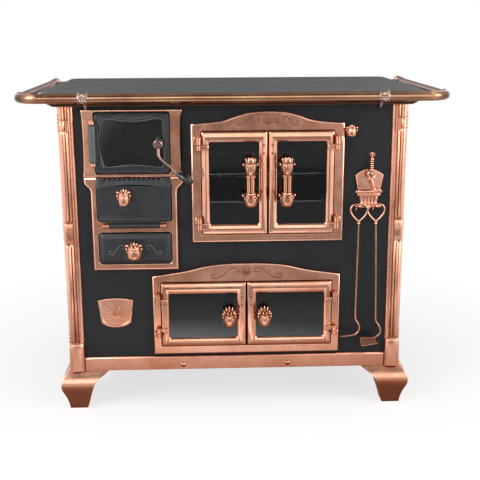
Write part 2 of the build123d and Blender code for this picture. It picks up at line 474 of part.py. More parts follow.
def fixed_knuckles(x, half, hinges, side):
    """Knuckles and pins that stand on a surround beside a door's edge."""
    hx = x + side * (half + HINGE_SIDE)
    body = None
    for f0, f1, m0, m1 in hinges:
        knuckle = rod((hx, HINGE_V, f0), (0, 0, 1), KNUCKLE_R, f1 - f0)
        knuckle += block(hx, hx + side * (KNUCKLE_R + 4), HINGE_V, FRAME_FACE, f0, f1)
        knuckle += rod((hx, HINGE_V, min(f0, m0) - 2), (0, 0, 1), PIN_R, max(f1, m1) - min(f0, m0) + 4)
        body = knuckle if body is None else body + knuckle
    return body


def oven_frame():
    body = arched_frame(OVEN_X, OVEN_FRAME_HALF, OVEN_FRAME_Z0, OVEN_FRAME_Z1, OVEN_ARCH,
                        OVEN_HALF, OVEN_Z0, OVEN_Z1)
    for side in (-1, 1):
        body += fixed_knuckles(OVEN_X, OVEN_HALF, OVEN_HINGES, side)
    return body


def cupboard_frame():
    body = arched_frame(CUP_X, CUP_FRAME_HALF, CUP_FRAME_Z0, CUP_FRAME_Z1, CUP_ARCH, CUP_HALF, CUP_Z0, CUP_Z1)
    for side in (-1, 1):
        body += fixed_knuckles(CUP_X, CUP_HALF, CUP_HINGES, side)
    return body


# ---- doors
def door_frame(x, half, z0, z1, stile_out, stile_in, rail_low, rail_top, hinges, side):
    """Glazed door of a pair, its pane let into the back; side is -1 left, 1 right."""
    outer, inner = x + side * half, x + side * MEET_GAP / 2
    a, b = min(outer, inner), max(outer, inner)
    body = block(a, b, DOOR_FACE, DOOR_BACK, z0, z1)
    lip = body.faces().sort_by(Axis.Y)[0].edges()
    body = chamfer(lip, 2.5)
    wa = a + (stile_out if side < 0 else stile_in)
    wb = b - (stile_in if side < 0 else stile_out)
    seat = DOOR_FACE + PANE_SEAT
    body -= block(wa, wb, -30, 60, z0 + rail_low, z1 - rail_top)
    body -= block(wa - 8, wb + 8, seat, 60, z0 + rail_low - 8, z1 - rail_top + 8)
    hx = outer + side * HINGE_SIDE
    for f0, f1, m0, m1 in hinges:
        body += rod((hx, HINGE_V, m0), (0, 0, 1), KNUCKLE_R, m1 - m0)
        body += block(hx, outer - side * 16, HINGE_V + 2, DOOR_FACE + 1, m0, m1)
        body -= rod((hx, HINGE_V, m0 - 4), (0, 0, 1), PIN_R + PIN_GAP, m1 - m0 + 8)
    return body


def pane(x, half, z0, z1, stile_out, stile_in, rail_low, rail_top, side, holes):
    """Glass drilled for the handle's studs."""
    outer, inner = x + side * half, x + side * MEET_GAP / 2
    a, b = min(outer, inner), max(outer, inner)
    edge = 8 - GLASS_GAP
    wa = a + (stile_out if side < 0 else stile_in) - edge
    wb = b - (stile_in if side < 0 else stile_out) + edge
    seat = DOOR_FACE + PANE_SEAT
    body = block(wa, wb, seat, seat + PANE_T, z0 + rail_low - edge, z1 - rail_top + edge)
    for hx, hz in holes:
        body -= rod((hx, seat - 1, hz), (0, 1, 0), STUD_R + STUD_GAP, PANE_T + 2)
    return body


def stud(x, z, start):
    """Stud from a handle through the pane, with a collar before it and a nut behind it."""
    seat = DOOR_FACE + PANE_SEAT
    body = rod((x, start, z), (0, 1, 0), STUD_R, PANE_BACK + STUD_NUT_T - start)
    body += rod((x, seat - 5, z), (0, 1, 0), STUD_NUT_R, 5)
    return body + rod((x, PANE_BACK, z), (0, 1, 0), STUD_NUT_R, STUD_NUT_T)


HANDLE_PROFILE = [(0.0, 0), (9, 1), (15, 5), (19, 12), (20, 20), (17, 27), (11, 32), (12, 33), (12, 39), (9.5, 41),
                  (9.5, 76), (11, 78), (11, 83), (8, 84), (9, 92), (14, 108), (21, 112), (21, 116), (9, 120),
                  (5, 129)]
HANDLE_STUDS = (17.0, 95.0)


def oven_handle(side):
    x = OVEN_X + side * HANDLE_X
    y = DOOR_FACE - HANDLE_OUT
    body = turned([(r, HANDLE_Z + z) for r, z in HANDLE_PROFILE[1:]], x, y)
    for z in HANDLE_STUDS:
        body += stud(x, HANDLE_Z + z, y)
    return body


def crown_knob(x, y, z, width, height, total):
    """Upright turned knob: bulb, neck and flared crown; z is the bulb's middle."""
    r, h = width / 2, height / 2
    rest = total - height
    profile = [(r * 0.5, -h), (r * 0.85, -h * 0.8), (r, -h * 0.2), (r, h * 0.25), (r * 0.7, h * 0.8), (r * 0.5, h),
               (r * 0.65, h + 1), (r * 0.65, h + 3), (r * 0.5, h + 4), (r * 1.4, h + rest * 0.42),
               (r * 1.4, h + rest * 0.55), (r * 0.5, h + rest * 0.72), (r * 0.2, h + rest)]
    return turned([(pr, z + pz) for pr, pz in profile], x, y)


def cupboard_knob(side):
    x = CUP_X + side * CUP_KNOB_X
    y = DOOR_FACE - 18.0
    return crown_knob(x, y, CUP_KNOB_Z, 26, 28, 58) + stud(x, CUP_KNOB_Z, y)


def fire_window(grow=0.0):
    """Glazed opening of the fire door: nipped top and bottom, sides swelling."""
    w, z0, z1 = FIRE_WINDOW_HALF + grow, FIRE_WINDOW_Z0 - grow, FIRE_WINDOW_Z1 + grow
    mid, dip, bulge = (z0 + z1) / 2, FIRE_WINDOW_DIP, FIRE_WINDOW_BULGE
    quarter = [(0, z1 - dip), (w * 0.45, z1 - dip * 0.6), (w * 0.8, z1 - 1), (w - 3, z1 - 2), (w, z1 - 6),
               (w + 1, z1 - 16), (w + bulge * 0.7, mid + FIRE_WINDOW_SWELL * (z1 - mid))]
    right = quarter + [(w + bulge, mid)] + [(x, 2 * mid - z) for x, z in reversed(quarter)]
    return [(FIRE_X + x, z) for x, z in right + [(-x, z) for x, z in reversed(right[1:-1])]]


def latch_boss(radius, y0, y1):
    boss = rod((LATCH_X, y0, LATCH_Z), (0, 1, 0), radius, y1 - y0)
    return boss + block(LATCH_X, FIRE_X + FIRE_DOOR_HALF - 4, y0, y1, LATCH_Z - radius * 0.7, LATCH_Z + radius * 0.7)


def fire_door():
    body = block(FIRE_X - FIRE_DOOR_HALF, FIRE_X + FIRE_DOOR_HALF, DOOR_FACE, DOOR_BACK, FIRE_DOOR_Z0, FIRE_DOOR_Z1)
    body = chamfer(body.faces().sort_by(Axis.Y)[0].edges(), 2.5)
    body -= wavy_slab(fire_window(), -30, 60)
    body += latch_boss(LATCH_BOSS_R, DOOR_FACE, DOOR_FACE + PANE_SEAT)
    half = FIRE_WINDOW_HALF + FIRE_WINDOW_BULGE + 4
    body -= block(FIRE_X - half, FIRE_X + half, DOOR_FACE + PANE_SEAT, 60, FIRE_WINDOW_Z0 - 6, FIRE_WINDOW_Z1 + 6)
    hx, hv, height = FIRE_HINGE_X, FIRE_HINGE_V, FIRE_BARREL_Z1 - FIRE_BARREL_Z0
    body += rod((hx, hv, FIRE_BARREL_Z0), (0, 0, 1), FIRE_BARREL_R, height)
    body += block(hx, hx + 14, hv + 1, DOOR_FACE + 2, FIRE_BARREL_Z0, FIRE_BARREL_Z1)
    body -= rod((hx, hv, FIRE_BARREL_Z0 - 5), (0, 0, 1), FIRE_PIN_R + PIN_GAP, height + 10)
    return body - rod((LATCH_X, -30, LATCH_Z), (0, 1, 0), LATCH_R + PIN_GAP, 60)


def fire_door_glass():
    half = FIRE_WINDOW_HALF + FIRE_WINDOW_BULGE + 4 - GLASS_GAP
    seat = DOOR_FACE + PANE_SEAT
    body = block(FIRE_X - half, FIRE_X + half, seat, seat + PANE_T, FIRE_WINDOW_Z0 - 6 + GLASS_GAP,
                 FIRE_WINDOW_Z1 + 6 - GLASS_GAP)
    return body - rod((LATCH_X, seat - 1, LATCH_Z), (0, 1, 0), LATCH_R + 2, PANE_T + 2)


LEVER_BEND = [(2.0, -27.0), (43.0, -69.0)]   # from the pivot, in X and Z
GRIP_END = (84.0, -93.0)


def fire_latch():
    """Lever on a spindle through the door, with a turning cam on the inside."""
    y = DOOR_FACE - LATCH_STANDOFF
    body = rod((LATCH_X, y, LATCH_Z), (0, 1, 0), LATCH_R, DOOR_BACK + 1 + CAM_T - y)
    body += rod((LATCH_X, y - 4, LATCH_Z), (0, 1, 0), LATCH_R + 4, 9)
    body += rod((LATCH_X, y + 5, LATCH_Z), (0, 1, 0), LATCH_R + 2, -END_GAP - 5 - y + DOOR_FACE)
    points = [(LATCH_X, y, LATCH_Z), (LATCH_X + LEVER_BEND[0][0], y, LATCH_Z + LEVER_BEND[0][1]),
              (LATCH_X + LEVER_BEND[1][0], y - 16, LATCH_Z + LEVER_BEND[1][1])]
    body += bent_wire(points, LEVER_R)
    cam = rod((LATCH_X, DOOR_BACK + 1, LATCH_Z), (0, 1, 0), LATCH_R + 3, CAM_T)
    return body + cam + block(LATCH_X - 5, LATCH_X + 5, DOOR_BACK + 1, DOOR_BACK + 1 + CAM_T, LATCH_Z, LATCH_Z + CAM_R)


def fire_latch_grip():
    """Teardrop grip threaded on the end of the lever."""
    y = DOOR_FACE - LATCH_STANDOFF - 16
    start = Vector(LATCH_X + LEVER_BEND[1][0], y, LATCH_Z + LEVER_BEND[1][1])
    end = Vector(LATCH_X + GRIP_END[0], y - 6, LATCH_Z + GRIP_END[1])
    axis = end - start
    length = axis.length
    profile = [(5.0, 0.0), (6.5, 4), (9.5, length * 0.45), (11.5, length * 0.68), (10.5, length * 0.84),
               (6.5, length * 0.96), (2.0, length)]
    edge = Polyline((0, 0), *profile, (0, length), close=True)
    shape = revolve(Plane.XZ * make_face(edge), Axis.Z)
    seat = Plane(origin=start + axis.normalized() * (LEVER_R + 0.2), z_dir=axis)
    return seat * shape


# ---- flap and drawer
def air_flap():
    body = block(FIRE_X - FLAP_HALF, FIRE_X + FLAP_HALF, FLAP_FACE, FLAP_FACE + FLAP_T, FLAP_Z0, FLAP_Z1)
    body += block(FIRE_X - FLAP_HALF + 2, FIRE_X + FLAP_HALF - 2, FLAP_FACE - 5, FLAP_FACE, FLAP_Z0, FLAP_Z0 + 10)
    body += rod((FIRE_X - FLAP_BARREL_HALF, FLAP_PIN_V, FLAP_PIN_Z), (1, 0, 0), FLAP_BARREL_R, 2 * FLAP_BARREL_HALF)
    body += block(FIRE_X - FLAP_BARREL_HALF, FIRE_X + FLAP_BARREL_HALF, FLAP_PIN_V, FLAP_FACE + 3,
                  FLAP_PIN_Z, FLAP_Z0 + 1)
    return body - rod((FIRE_X - 100, FLAP_PIN_V, FLAP_PIN_Z), (1, 0, 0), FLAP_PIN_R + PIN_GAP, 200)


def flap_knob():
    x, z = FIRE_X - FLAP_KNOB_X, FLAP_Z1 - FLAP_KNOB_DROP
    y = FLAP_FACE - 19
    return crown_knob(x, y, z, 25, 28, 47) + rod((x, y, z), (0, 1, 0), STUD_R, FLAP_FACE - y)


def drawer_front():
    body = block(FIRE_X - DRAWER_HALF, FIRE_X + DRAWER_HALF, DOOR_FACE, DOOR_FACE + DRAWER_FRONT_T,
                 DRAWER_Z0, DRAWER_Z1)
    return chamfer(body.faces().sort_by(Axis.Y)[0].edges(), 4.0)


def drawer_tray():
    y0 = DOOR_FACE + DRAWER_FRONT_T
    body = block(FIRE_X - TRAY_HALF, FIRE_X + TRAY_HALF, y0, y0 + TRAY_L, TRAY_Z0, TRAY_Z1)
    return body - block(FIRE_X - TRAY_HALF + TRAY_WALL, FIRE_X + TRAY_HALF - TRAY_WALL, y0 + TRAY_WALL,
                        y0 + TRAY_L - TRAY_WALL, TRAY_Z0 + TRAY_WALL, TRAY_Z1 + 1)


def drawer_knob():
    x, z = FIRE_X - DRAWER_KNOB_X, DRAWER_Z0 + DRAWER_KNOB_UP
    y = DOOR_FACE - 23
    return crown_knob(x, y, z, 30, 30, 49) + rod((x, y, z), (0, 1, 0), STUD_R, DOOR_FACE - y)


# ---- firebox
def firebox():
    x0, x1 = FIRE_X - FIREBOX_HALF, FIRE_X + FIREBOX_HALF
    y0, y1, w = PANEL_BACK, PANEL_BACK + FIREBOX_DEPTH, FIREBOX_WALL
    body = block(x0, x1, y0, y1, FIREBOX_Z0, FIREBOX_Z1)
    body -= block(x0 + w, x1 - w, y0 + w, y1 - w, FIREBOX_Z0 + w, FIREBOX_Z1 - w)
    for half, z0, z1 in ((FIRE_DOOR_HALF, FIRE_DOOR_Z0, FIRE_DOOR_Z1), (FLAP_HALF, FLAP_Z0, FLAP_Z1)):
        body -= block(FIRE_X - half + FIRE_LAP, FIRE_X + half - FIRE_LAP, y0 - 1, y0 + w + 1, z0 + FIRE_LAP,
                      z1 - FIRE_LAP)
    inner = ASH_BOX_HALF - ASH_BOX_WALL
    body -= block(FIRE_X - inner, FIRE_X + inner, y0 + 20, y1 - 30, FIREBOX_Z0 - 1, FIREBOX_Z0 + w + 1)
    body -= block(x1 - w - 1, x1 + 1, y0 + 80, y1 - 40, BRICK_Z1 + 8, FIREBOX_Z1 - w - 8)
    ledge = GRATE_LEDGE
    rim = block(x0 + w, x1 - w, y0 + w, y1 - w, GRATE_Z - 5, GRATE_Z)
    rim -= block(x0 + w + ledge, x1 - w - ledge, y0 + w + ledge, y1 - w - ledge, GRATE_Z - 6, GRATE_Z + 1)
    return body + rim


def firebricks():
    x0, x1 = FIRE_X - FIREBOX_HALF + FIREBOX_WALL, FIRE_X + FIREBOX_HALF - FIREBOX_WALL
    y0, y1 = PANEL_BACK + FIREBOX_WALL, PANEL_BACK + FIREBOX_DEPTH - FIREBOX_WALL
    left = block(x0, x0 + BRICK_T, y0, y1, BRICK_Z0, BRICK_Z1)
    right = block(x1 - BRICK_T, x1, y0, y1, BRICK_Z0, BRICK_Z1)
    back = block(x0 + BRICK_T + BRICK_JOINT, x1 - BRICK_T - BRICK_JOINT, y1 - BRICK_T, y1, BRICK_Z0, BRICK_Z1)
    return [left, right, back]


def fire_grate():
    edge = FIREBOX_WALL + GRATE_GAP
    x0, x1 = FIRE_X - FIREBOX_HALF + edge, FIRE_X + FIREBOX_HALF - edge
    y0, y1 = PANEL_BACK + edge, PANEL_BACK + FIREBOX_DEPTH - edge
    body = block(x0, x1, y0, y1, GRATE_Z, GRATE_Z + GRATE_T)
    pitch = (x1 - x0 - 2 * GRATE_RIM) / GRATE_BARS
    for k in range(GRATE_BARS):
        x = x0 + GRATE_RIM + pitch * (k + 0.5)
        body -= block(x - pitch * 0.25, x + pitch * 0.25, y0 + GRATE_RIM, y1 - GRATE_RIM, GRATE_Z - 1,
                      GRATE_Z + GRATE_T + 1)
    return body


def ash_chamber():
    """Sheet box that guides the drawer, open to the front and to the firebox above."""
    x0, x1, w = FIRE_X - ASH_BOX_HALF, FIRE_X + ASH_BOX_HALF, ASH_BOX_WALL
    y0, y1 = PANEL_BACK, PANEL_BACK + ASH_BOX_DEPTH
    body = block(x0, x1, y0, y1, ASH_BOX_Z0, FIREBOX_Z0)
    body -= block(x0 + w, x1 - w, y0 - 1, y1 - w, ASH_BOX_Z0 + w, FIREBOX_Z0 + 1)
    for side in (-1, 1):
        x = FIRE_X + side * (TRAY_HALF - 8)
        body += block(x - 5, x + 5, y0, y1 - w, ASH_BOX_Z0 + w, TRAY_Z0 - 0.3)
    return body


# ---- oven and cupboard linings
def oven_box():
    half = OVEN_HALF - DOOR_LAP + OVEN_BOX_LAP
    x0, x1, w = OVEN_X - half - OVEN_BOX_WALL, OVEN_X + half + OVEN_BOX_WALL, OVEN_BOX_WALL
    y0, y1 = PANEL_BACK, PANEL_BACK + OVEN_BOX_DEPTH
    z0, z1 = OVEN_Z0 + DOOR_LAP - OVEN_BOX_LAP - w, OVEN_Z1 - DOOR_LAP + OVEN_BOX_LAP + w
    body = tray_box(x0, x1, y0, y1, z0, z1, w)
    for z in (OVEN_Z0 + up for up in RACK_UP):
        for a, b in ((x0 + w, x0 + w + RUNNER_W), (x1 - w - RUNNER_W, x1 - w)):
            body += block(a, b, y0 + 12, y1 - w, z - RACK_WIRE - 3, z - RACK_WIRE)
    return body


def oven_rack(z):
    """Wire shelf resting on the runners of the oven's sides."""
    half = OVEN_HALF - DOOR_LAP + OVEN_BOX_LAP - RACK_GAP - RACK_WIRE
    y0, y1 = PANEL_BACK + 30, PANEL_BACK + OVEN_BOX_DEPTH - OVEN_BOX_WALL - 16
    corners = [(OVEN_X - half, y0, z), (OVEN_X + half, y0, z), (OVEN_X + half, y1, z), (OVEN_X - half, y1, z)]
    body = bent_wire(corners, RACK_WIRE, closed=True)
    for k in range(1, RACK_BARS):
        x = OVEN_X - half + 2 * half * k / RACK_BARS
        body += rod((x, y0, z), (0, 1, 0), RACK_WIRE * 0.7, y1 - y0)
    return body


def cupboard_box():
    half = CUP_HALF - DOOR_LAP + CUP_BOX_LAP
    w = CUP_BOX_WALL
    return tray_box(CUP_X - half - w, CUP_X + half + w, PANEL_BACK, PANEL_BACK + CUP_BOX_DEPTH,
                    CUP_Z0 + DOOR_LAP - CUP_BOX_LAP - w, CUP_Z1 - DOOR_LAP + CUP_BOX_LAP + w, w)


# ---- flue and damper
def flue_collar():
    y0, y1 = BODY_BACK - SIDE_T, BODY_BACK + FLUE_OUT
    body = rod((FLUE_X, y0, FLUE_Z), (0, 1, 0), FLUE_R, y1 - y0)
    body += rod((FLUE_X, BODY_BACK, FLUE_Z), (0, 1, 0), FLUE_FLANGE_R, FLUE_FLANGE_T)
    return body - rod((FLUE_X, y0 - 1, FLUE_Z), (0, 1, 0), FLUE_R - FLUE_WALL, y1 - y0 + 2)


def damper_rod():
    y0 = PANEL_FACE - DAMPER_OUT
    body = rod((DAMPER_X, y0, DAMPER_Z), (0, 1, 0), DAMPER_ROD_R, DAMPER_ROD_L)
    y1 = y0 + DAMPER_ROD_L
    return body + block(DAMPER_X - DAMPER_W / 2, DAMPER_X + DAMPER_W / 2, y1, y1 + DAMPER_T,
                        DAMPER_Z - DAMPER_DOWN, DAMPER_Z + DAMPER_UP)


def damper_knob():
    y = PANEL_FACE - DAMPER_OUT
    body = rod((DAMPER_X, y, DAMPER_Z), (0, -1, 0), DAMPER_NECK_R, 6)
    body += rod((DAMPER_X, y - 6, DAMPER_Z), (0, -1, 0), DAMPER_HEAD_R, 8)
    return body + rod((DAMPER_X, y - 14, DAMPER_Z), (0, -1, 0), DAMPER_NECK_R + 1, 4)


# ---- plates and tools
def name_plate():
    return slab([(BADGE_X + x, BADGE_Z + z) for x, z in BADGE], PANEL_FACE - BADGE_T, PANEL_FACE)


PEG_DIR = (0, -cos(radians(PEG_RISE)), sin(radians(PEG_RISE)))


def peg(x, z):
    y = PANEL_FACE - PLAQUE_T
    body = rod((x, y + 2.5, z - 2.5 * PEG_DIR[2]), PEG_DIR, PEG_R, PEG_LEN)
    return body


def tool_plaque():
    body = slab([(PLAQUE_X + x, PLAQUE_Z + z) for x, z in PLAQUE], PANEL_FACE - PLAQUE_T, PANEL_FACE)
    for x, z in ((POKER_X, TOOL_PEG_Z), (SHOVEL_X, TOOL_PEG_Z), (LIFTER_X, LIFTER_PEG_Z)):
        reach = PEG_LEN + 2 * PEG_R
        body += peg(x, z) & block(x - reach, x + reach, PANEL_FACE - 2 * reach, PANEL_FACE - 0.5, z - reach, z + reach)
    return body


def peg_height(z):
    """Height of a peg's axis where it crosses the plane of the tools."""
    return z + (PANEL_FACE - PLAQUE_T - TOOL_V) * PEG_DIR[2] / -PEG_DIR[1]


def hang_loop(x):
    """Teardrop loop of wire over a peg, closed at its foot."""
    top = peg_height(TOOL_PEG_Z) + (PEG_R + LOOP_WIRE) / cos(radians(PEG_RISE)) + HANG_GAP
    points = [(0, -46), (-9, -37), (-17, -24), (-20, -11), (-14, -2.5), (0, 0), (14, -2.5), (20, -11), (17, -24), (9, -37)]
    return [(x + px, TOOL_V, top + pz) for px, pz in points]


def poker():
    loop = hang_loop(POKER_X)
    foot_z = loop[0][2]
    drops = [(0, 148), (-2, 292), (4, 308), (10, 322), (8, 333), (-2, 340), (-16, 344), (-41, 346)]
    path = [(0, foot_z)] + [(x, TOOL_PEG_Z - drop) for x, drop in drops]
    body = bent_wire(loop, LOOP_WIRE, closed=True)
    return body + bent_wire([(POKER_X + x, TOOL_V, z) for x, z in path], TOOL_ROD)


def shovel():
    loop = hang_loop(SHOVEL_X)
    drops = [(4, 148), (8, 305), (17, 320), (22, 335), (17, 346), (8, 352), (0, 356)]
    path = [(1, loop[0][2])] + [(x, TOOL_PEG_Z - drop) for x, drop in drops]
    body = bent_wire(loop, LOOP_WIRE, closed=True)
    body += bent_wire([(SHOVEL_X + x, TOOL_V, z) for x, z in path], TOOL_ROD)
    blade = [(-32, 350), (-27, 374), (16, 368), (6, 350)]
    corners = [(SHOVEL_X + x, TOOL_PEG_Z - drop) for x, drop in blade]
    return body + slab(corners, TOOL_V - BLADE_T / 2, TOOL_V + BLADE_T / 2)


def lid_lifter():
    """Lifting key: crowned and beaded grip, eye on the peg, hooked nose."""
    hole = (PEG_R / cos(radians(PEG_RISE))) + 3.0
    z = peg_height(LIFTER_PEG_Z) + PEG_R / cos(radians(PEG_RISE)) + HANG_GAP + 1.2 - hole
    disc = rod((LIFTER_X, TOOL_V + 2, z), (0, -1, 0), hole + 4.5, 4)
    disc -= rod((LIFTER_X, TOOL_V + 10, z), (0, -1, 0), hole, 20)
    top = z + hole + 3
    profile = [(4, top), (5.5, top + 3), (4, top + 7), (6, top + 12), (4, top + 17), (6, top + 22), (4, top + 27),
               (6, top + 31), (4.5, top + 35), (12, top + 40), (12, top + 44), (4, top + 50)]
    nose = [(0, z - hole - 2), (5, z - 26), (9, z - 38), (15, z - 44), (22, z - 40)]
    body = disc + turned(profile, LIFTER_X, TOOL_V)
    return body + bent_wire([(LIFTER_X + x, TOOL_V, pz) for x, pz in nose], 3.0) \
        + Pos(LIFTER_X + 22, TOOL_V, z - 40) * Sphere(4.6)


OVEN_DOOR = (OVEN_X, OVEN_HALF, OVEN_Z0, OVEN_Z1, OVEN_STILE_OUT, OVEN_STILE_IN, OVEN_RAIL, OVEN_RAIL)
CUP_DOOR = (CUP_X, CUP_HALF, CUP_Z0, CUP_Z1, CUP_STILE_OUT, CUP_STILE_IN, CUP_RAIL_LOW, CUP_RAIL_TOP)


def oven_holes(side):
    return [(OVEN_X + side * HANDLE_X, HANDLE_Z + z) for z in HANDLE_STUDS]


def build():
    nodes = {
        "cooking_plate": cooking_plate(), "cornice": cornice(),
        "post_left": post(-1), "post_right": post(1),
        "foot_front_left": foot(-1, False), "foot_front_right": foot(1, False),
        "foot_rear_left": foot(-1, True), "foot_rear_right": foot(1, True),
        "front_panel": front_panel(), "side_panel_left": side_panel(-1), "side_panel_right": side_panel(1),
        "back_panel": back_panel(), "floor_pan": floor_pan(),
        "front_plinth": front_plinth(), "plinth_bolts": plinth_bolts(),
        "front_rail": front_rail(), "side_rail_left": side_rail(-1), "side_rail_right": side_rail(1),
        "rail_brackets": rail_brackets(),
        "fire_frame_upper": fire_frame_upper(), "fire_frame_lower": fire_frame_lower(),
        "oven_frame": oven_frame(), "cupboard_frame": cupboard_frame(),
        "firebox": firebox(), "firebricks": firebricks(), "fire_grate": fire_grate(), "ash_chamber": ash_chamber(),
        "oven_box": oven_box(), "oven_rack_lower": oven_rack(OVEN_Z0 + RACK_UP[0]),
        "oven_rack_upper": oven_rack(OVEN_Z0 + RACK_UP[1]),
        "cupboard_box": cupboard_box(), "flue_collar": flue_collar(),
        "name_plate": name_plate(), "tool_plaque": tool_plaque(),
        "fire_door": fire_door(), "fire_door_glass": fire_door_glass(),
        "fire_latch": fire_latch(), "fire_latch_grip": fire_latch_grip(),
        "air_flap": air_flap(), "air_flap_knob": flap_knob(),
        "drawer_front": drawer_front(), "drawer_tray": drawer_tray(), "drawer_knob": drawer_knob(),
        "damper_rod": damper_rod(), "damper_knob": damper_knob(),
        "poker": poker(), "shovel": shovel(), "lid_lifter": lid_lifter(),
    }
    for side, hand in ((-1, "left"), (1, "right")):
        nodes["oven_door_" + hand] = door_frame(*OVEN_DOOR, OVEN_HINGES, side)
        nodes["oven_glass_" + hand] = pane(*OVEN_DOOR, side, oven_holes(side))
        nodes["oven_handle_" + hand] = oven_handle(side)
        nodes["cupboard_door_" + hand] = door_frame(*CUP_DOOR, CUP_HINGES, side)
        nodes["cupboard_glass_" + hand] = pane(*CUP_DOOR, side, [(CUP_X + side * CUP_KNOB_X, CUP_KNOB_Z)])
        nodes["cupboard_knob_" + hand] = cupboard_knob(side)
    return nodes


def as_compound(shape):
    return Compound(children=list(shape)) if isinstance(shape, (list, tuple)) else shape


NODES = {name: as_compound(shape) for name, shape in build().items()}
BOXES = [shape.bounding_box() for shape in NODES.values()]
SHIFT_Y = -(min(b.min.Y for b in BOXES) + max(b.max.Y for b in BOXES)) / 2

os.makedirs("parts", exist_ok=True)
for name, shape in NODES.items():
    export_step(Pos(0, SHIFT_Y, 0) * shape, f"parts/{name}.step")
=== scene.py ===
"""Looks of a freestanding wood cookstove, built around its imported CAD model.
"""
from collections import namedtuple
from functools import wraps
from math import cos, pi, radians, sin

import bmesh
import bpy
from mathutils import Matrix, Vector


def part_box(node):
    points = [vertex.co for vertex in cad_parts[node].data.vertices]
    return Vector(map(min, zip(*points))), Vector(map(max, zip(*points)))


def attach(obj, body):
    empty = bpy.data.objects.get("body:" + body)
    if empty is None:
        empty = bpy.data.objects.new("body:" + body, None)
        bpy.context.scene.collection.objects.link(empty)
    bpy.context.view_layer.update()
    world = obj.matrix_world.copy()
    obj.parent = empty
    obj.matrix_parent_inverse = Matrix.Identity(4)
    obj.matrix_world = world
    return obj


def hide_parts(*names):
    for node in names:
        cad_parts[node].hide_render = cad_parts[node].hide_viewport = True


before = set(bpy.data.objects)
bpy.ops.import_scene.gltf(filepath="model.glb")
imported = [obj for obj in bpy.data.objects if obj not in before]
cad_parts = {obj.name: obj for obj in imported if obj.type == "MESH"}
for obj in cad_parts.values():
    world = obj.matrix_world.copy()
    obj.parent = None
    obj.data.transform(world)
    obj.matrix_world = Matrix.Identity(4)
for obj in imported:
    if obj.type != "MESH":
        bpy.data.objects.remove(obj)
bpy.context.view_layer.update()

bl_info = {
    "name": "Wood Cookstove",
    "version": (1, 0, 0),
    "blender": (4, 5, 0),
    "location": "View3D > Sidebar > Cookstove",
    "description": "Dresses the CAD model of a copper-trimmed wood cookstove and sets its studio",
    "category": "Object",
}

# ---- places taken from the frame, in millimetres
MM = 0.001
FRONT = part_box("cooking_plate")[0].y
PLACE = Matrix.Translation((0, FRONT, 0)) @ Matrix.Scale(MM, 4)
RIGHT, BACK, UP = (1, 0, 0), (0, 1, 0), (0, 0, 1)
SIDES = ((-1, "left"), (1, "right"))


def span(node):
    """x0, x1, v0, v1, z0, z1 of a CAD node."""
    lo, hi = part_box(node)
    return lo.x / MM, hi.x / MM, (lo.y - FRONT) / MM, (hi.y - FRONT) / MM, lo.z / MM, hi.z / MM


OVEN_X0, OVEN_X1, _, PANEL_V, OVEN_Z0, OVEN_CREST = span("oven_frame")
CUP_X0, CUP_X1, _, _, CUP_Z0, CUP_CREST = span("cupboard_frame")
FIRE_X0, FIRE_X1, _, _, FIRE_JOINT, FIRE_TOP = span("fire_frame_upper")
FIRE_FOOT = span("fire_frame_lower")[4]
OVEN_X, CUP_X, FIRE_X = (OVEN_X0 + OVEN_X1) / 2, (CUP_X0 + CUP_X1) / 2, (FIRE_X0 + FIRE_X1) / 2
PLATE_X1, _, PLATE_BACK = span("cooking_plate")[1:4]
POST_X0, FOOT_TOP = span("post_right")[0], span("foot_front_right")[5]
_, RAIL_X1, RAIL_V0, _, RAIL_Z0, RAIL_Z1 = span("front_rail")
TUBE_R = (RAIL_Z1 - RAIL_Z0) / 2
TUBE_V, TUBE_Z, ROD_X = RAIL_V0 + TUBE_R, (RAIL_Z0 + RAIL_Z1) / 2, RAIL_X1 - TUBE_R
PLAQUE_X0, PLAQUE_X1, _, PLAQUE_BACK, PLAQUE_Z0, _ = span("tool_plaque")
PLAQUE_X = (PLAQUE_X0 + PLAQUE_X1) / 2
# places that several pieces share
FRAME_V = PANEL_V - 12.0  # front face of the cast surrounds
HINGE_V = -6.0  # line of the hinge pins
FIRE_HALF = 95.0  # half width of the fire door and of the flap
FIRE_DOOR_Z0, FIRE_DOOR_Z1, FIRE_PIN_X = 652.0, 808.0, FIRE_X - 99.0
FLAP_Z0, FLAP_Z1, FLAP_PIN_V, FLAP_PIN_Z = 526.0, 620.0, -2.0, 516.0
GAP = 2.0  # round each door, the flap and the drawer
HANDLE_OFF = 47.0  # from the middle of a pair of doors to its handles or knobs


# ---- mesh helpers
def catmull(a, b, c, d, t):
    return tuple(0.5 * (2 * q + (r - p) * t + (2 * p - 5 * q + 4 * r - s) * t * t
                        + (3 * q - p - 3 * r + s) * t ** 3) for p, q, r, s in zip(a, b, c, d))


def through(points, steps=6):
    """Smooth line through a row of points."""
    ends = [points[0], *points, points[-1]]
    line = [catmull(a, b, c, d, k / steps) for a, b, c, d in zip(ends, ends[1:], ends[2:], ends[3:])
            for k in range(steps)]
    return line + [tuple(points[-1])]


def mirrored(x, half):
    """Outline from its right half, (distance from x, height) points given from the bottom to the top."""
    return [(x + a, z) for a, z in half] + [(x - a, z) for a, z in reversed(half)]


def rounded(x0, x1, z0, z1, radii, steps=4):
    """Rectangle with rounded corners: one radius, or top right, top left, bottom left, bottom right."""
    r = radii if isinstance(radii, tuple) else (radii,) * 4
    corners = ((x1 - r[0], z1 - r[0], 0), (x0 + r[1], z1 - r[1], 90), (x0 + r[2], z0 + r[2], 180),
               (x1 - r[3], z0 + r[3], 270))
    return [(x + q * cos(radians(a + 90 * k / steps)), z + q * sin(radians(a + 90 * k / steps)))
            for (x, z, a), q in zip(corners, r) for k in range(steps + 1)]


def opening(x, half, z0, z1, radii):
    """Hole of a surround: a gap all round what moves in it, which has this middle and half width."""
    return rounded(x - (half + GAP), x + (half + GAP), z0 - GAP, z1 + GAP, radii)


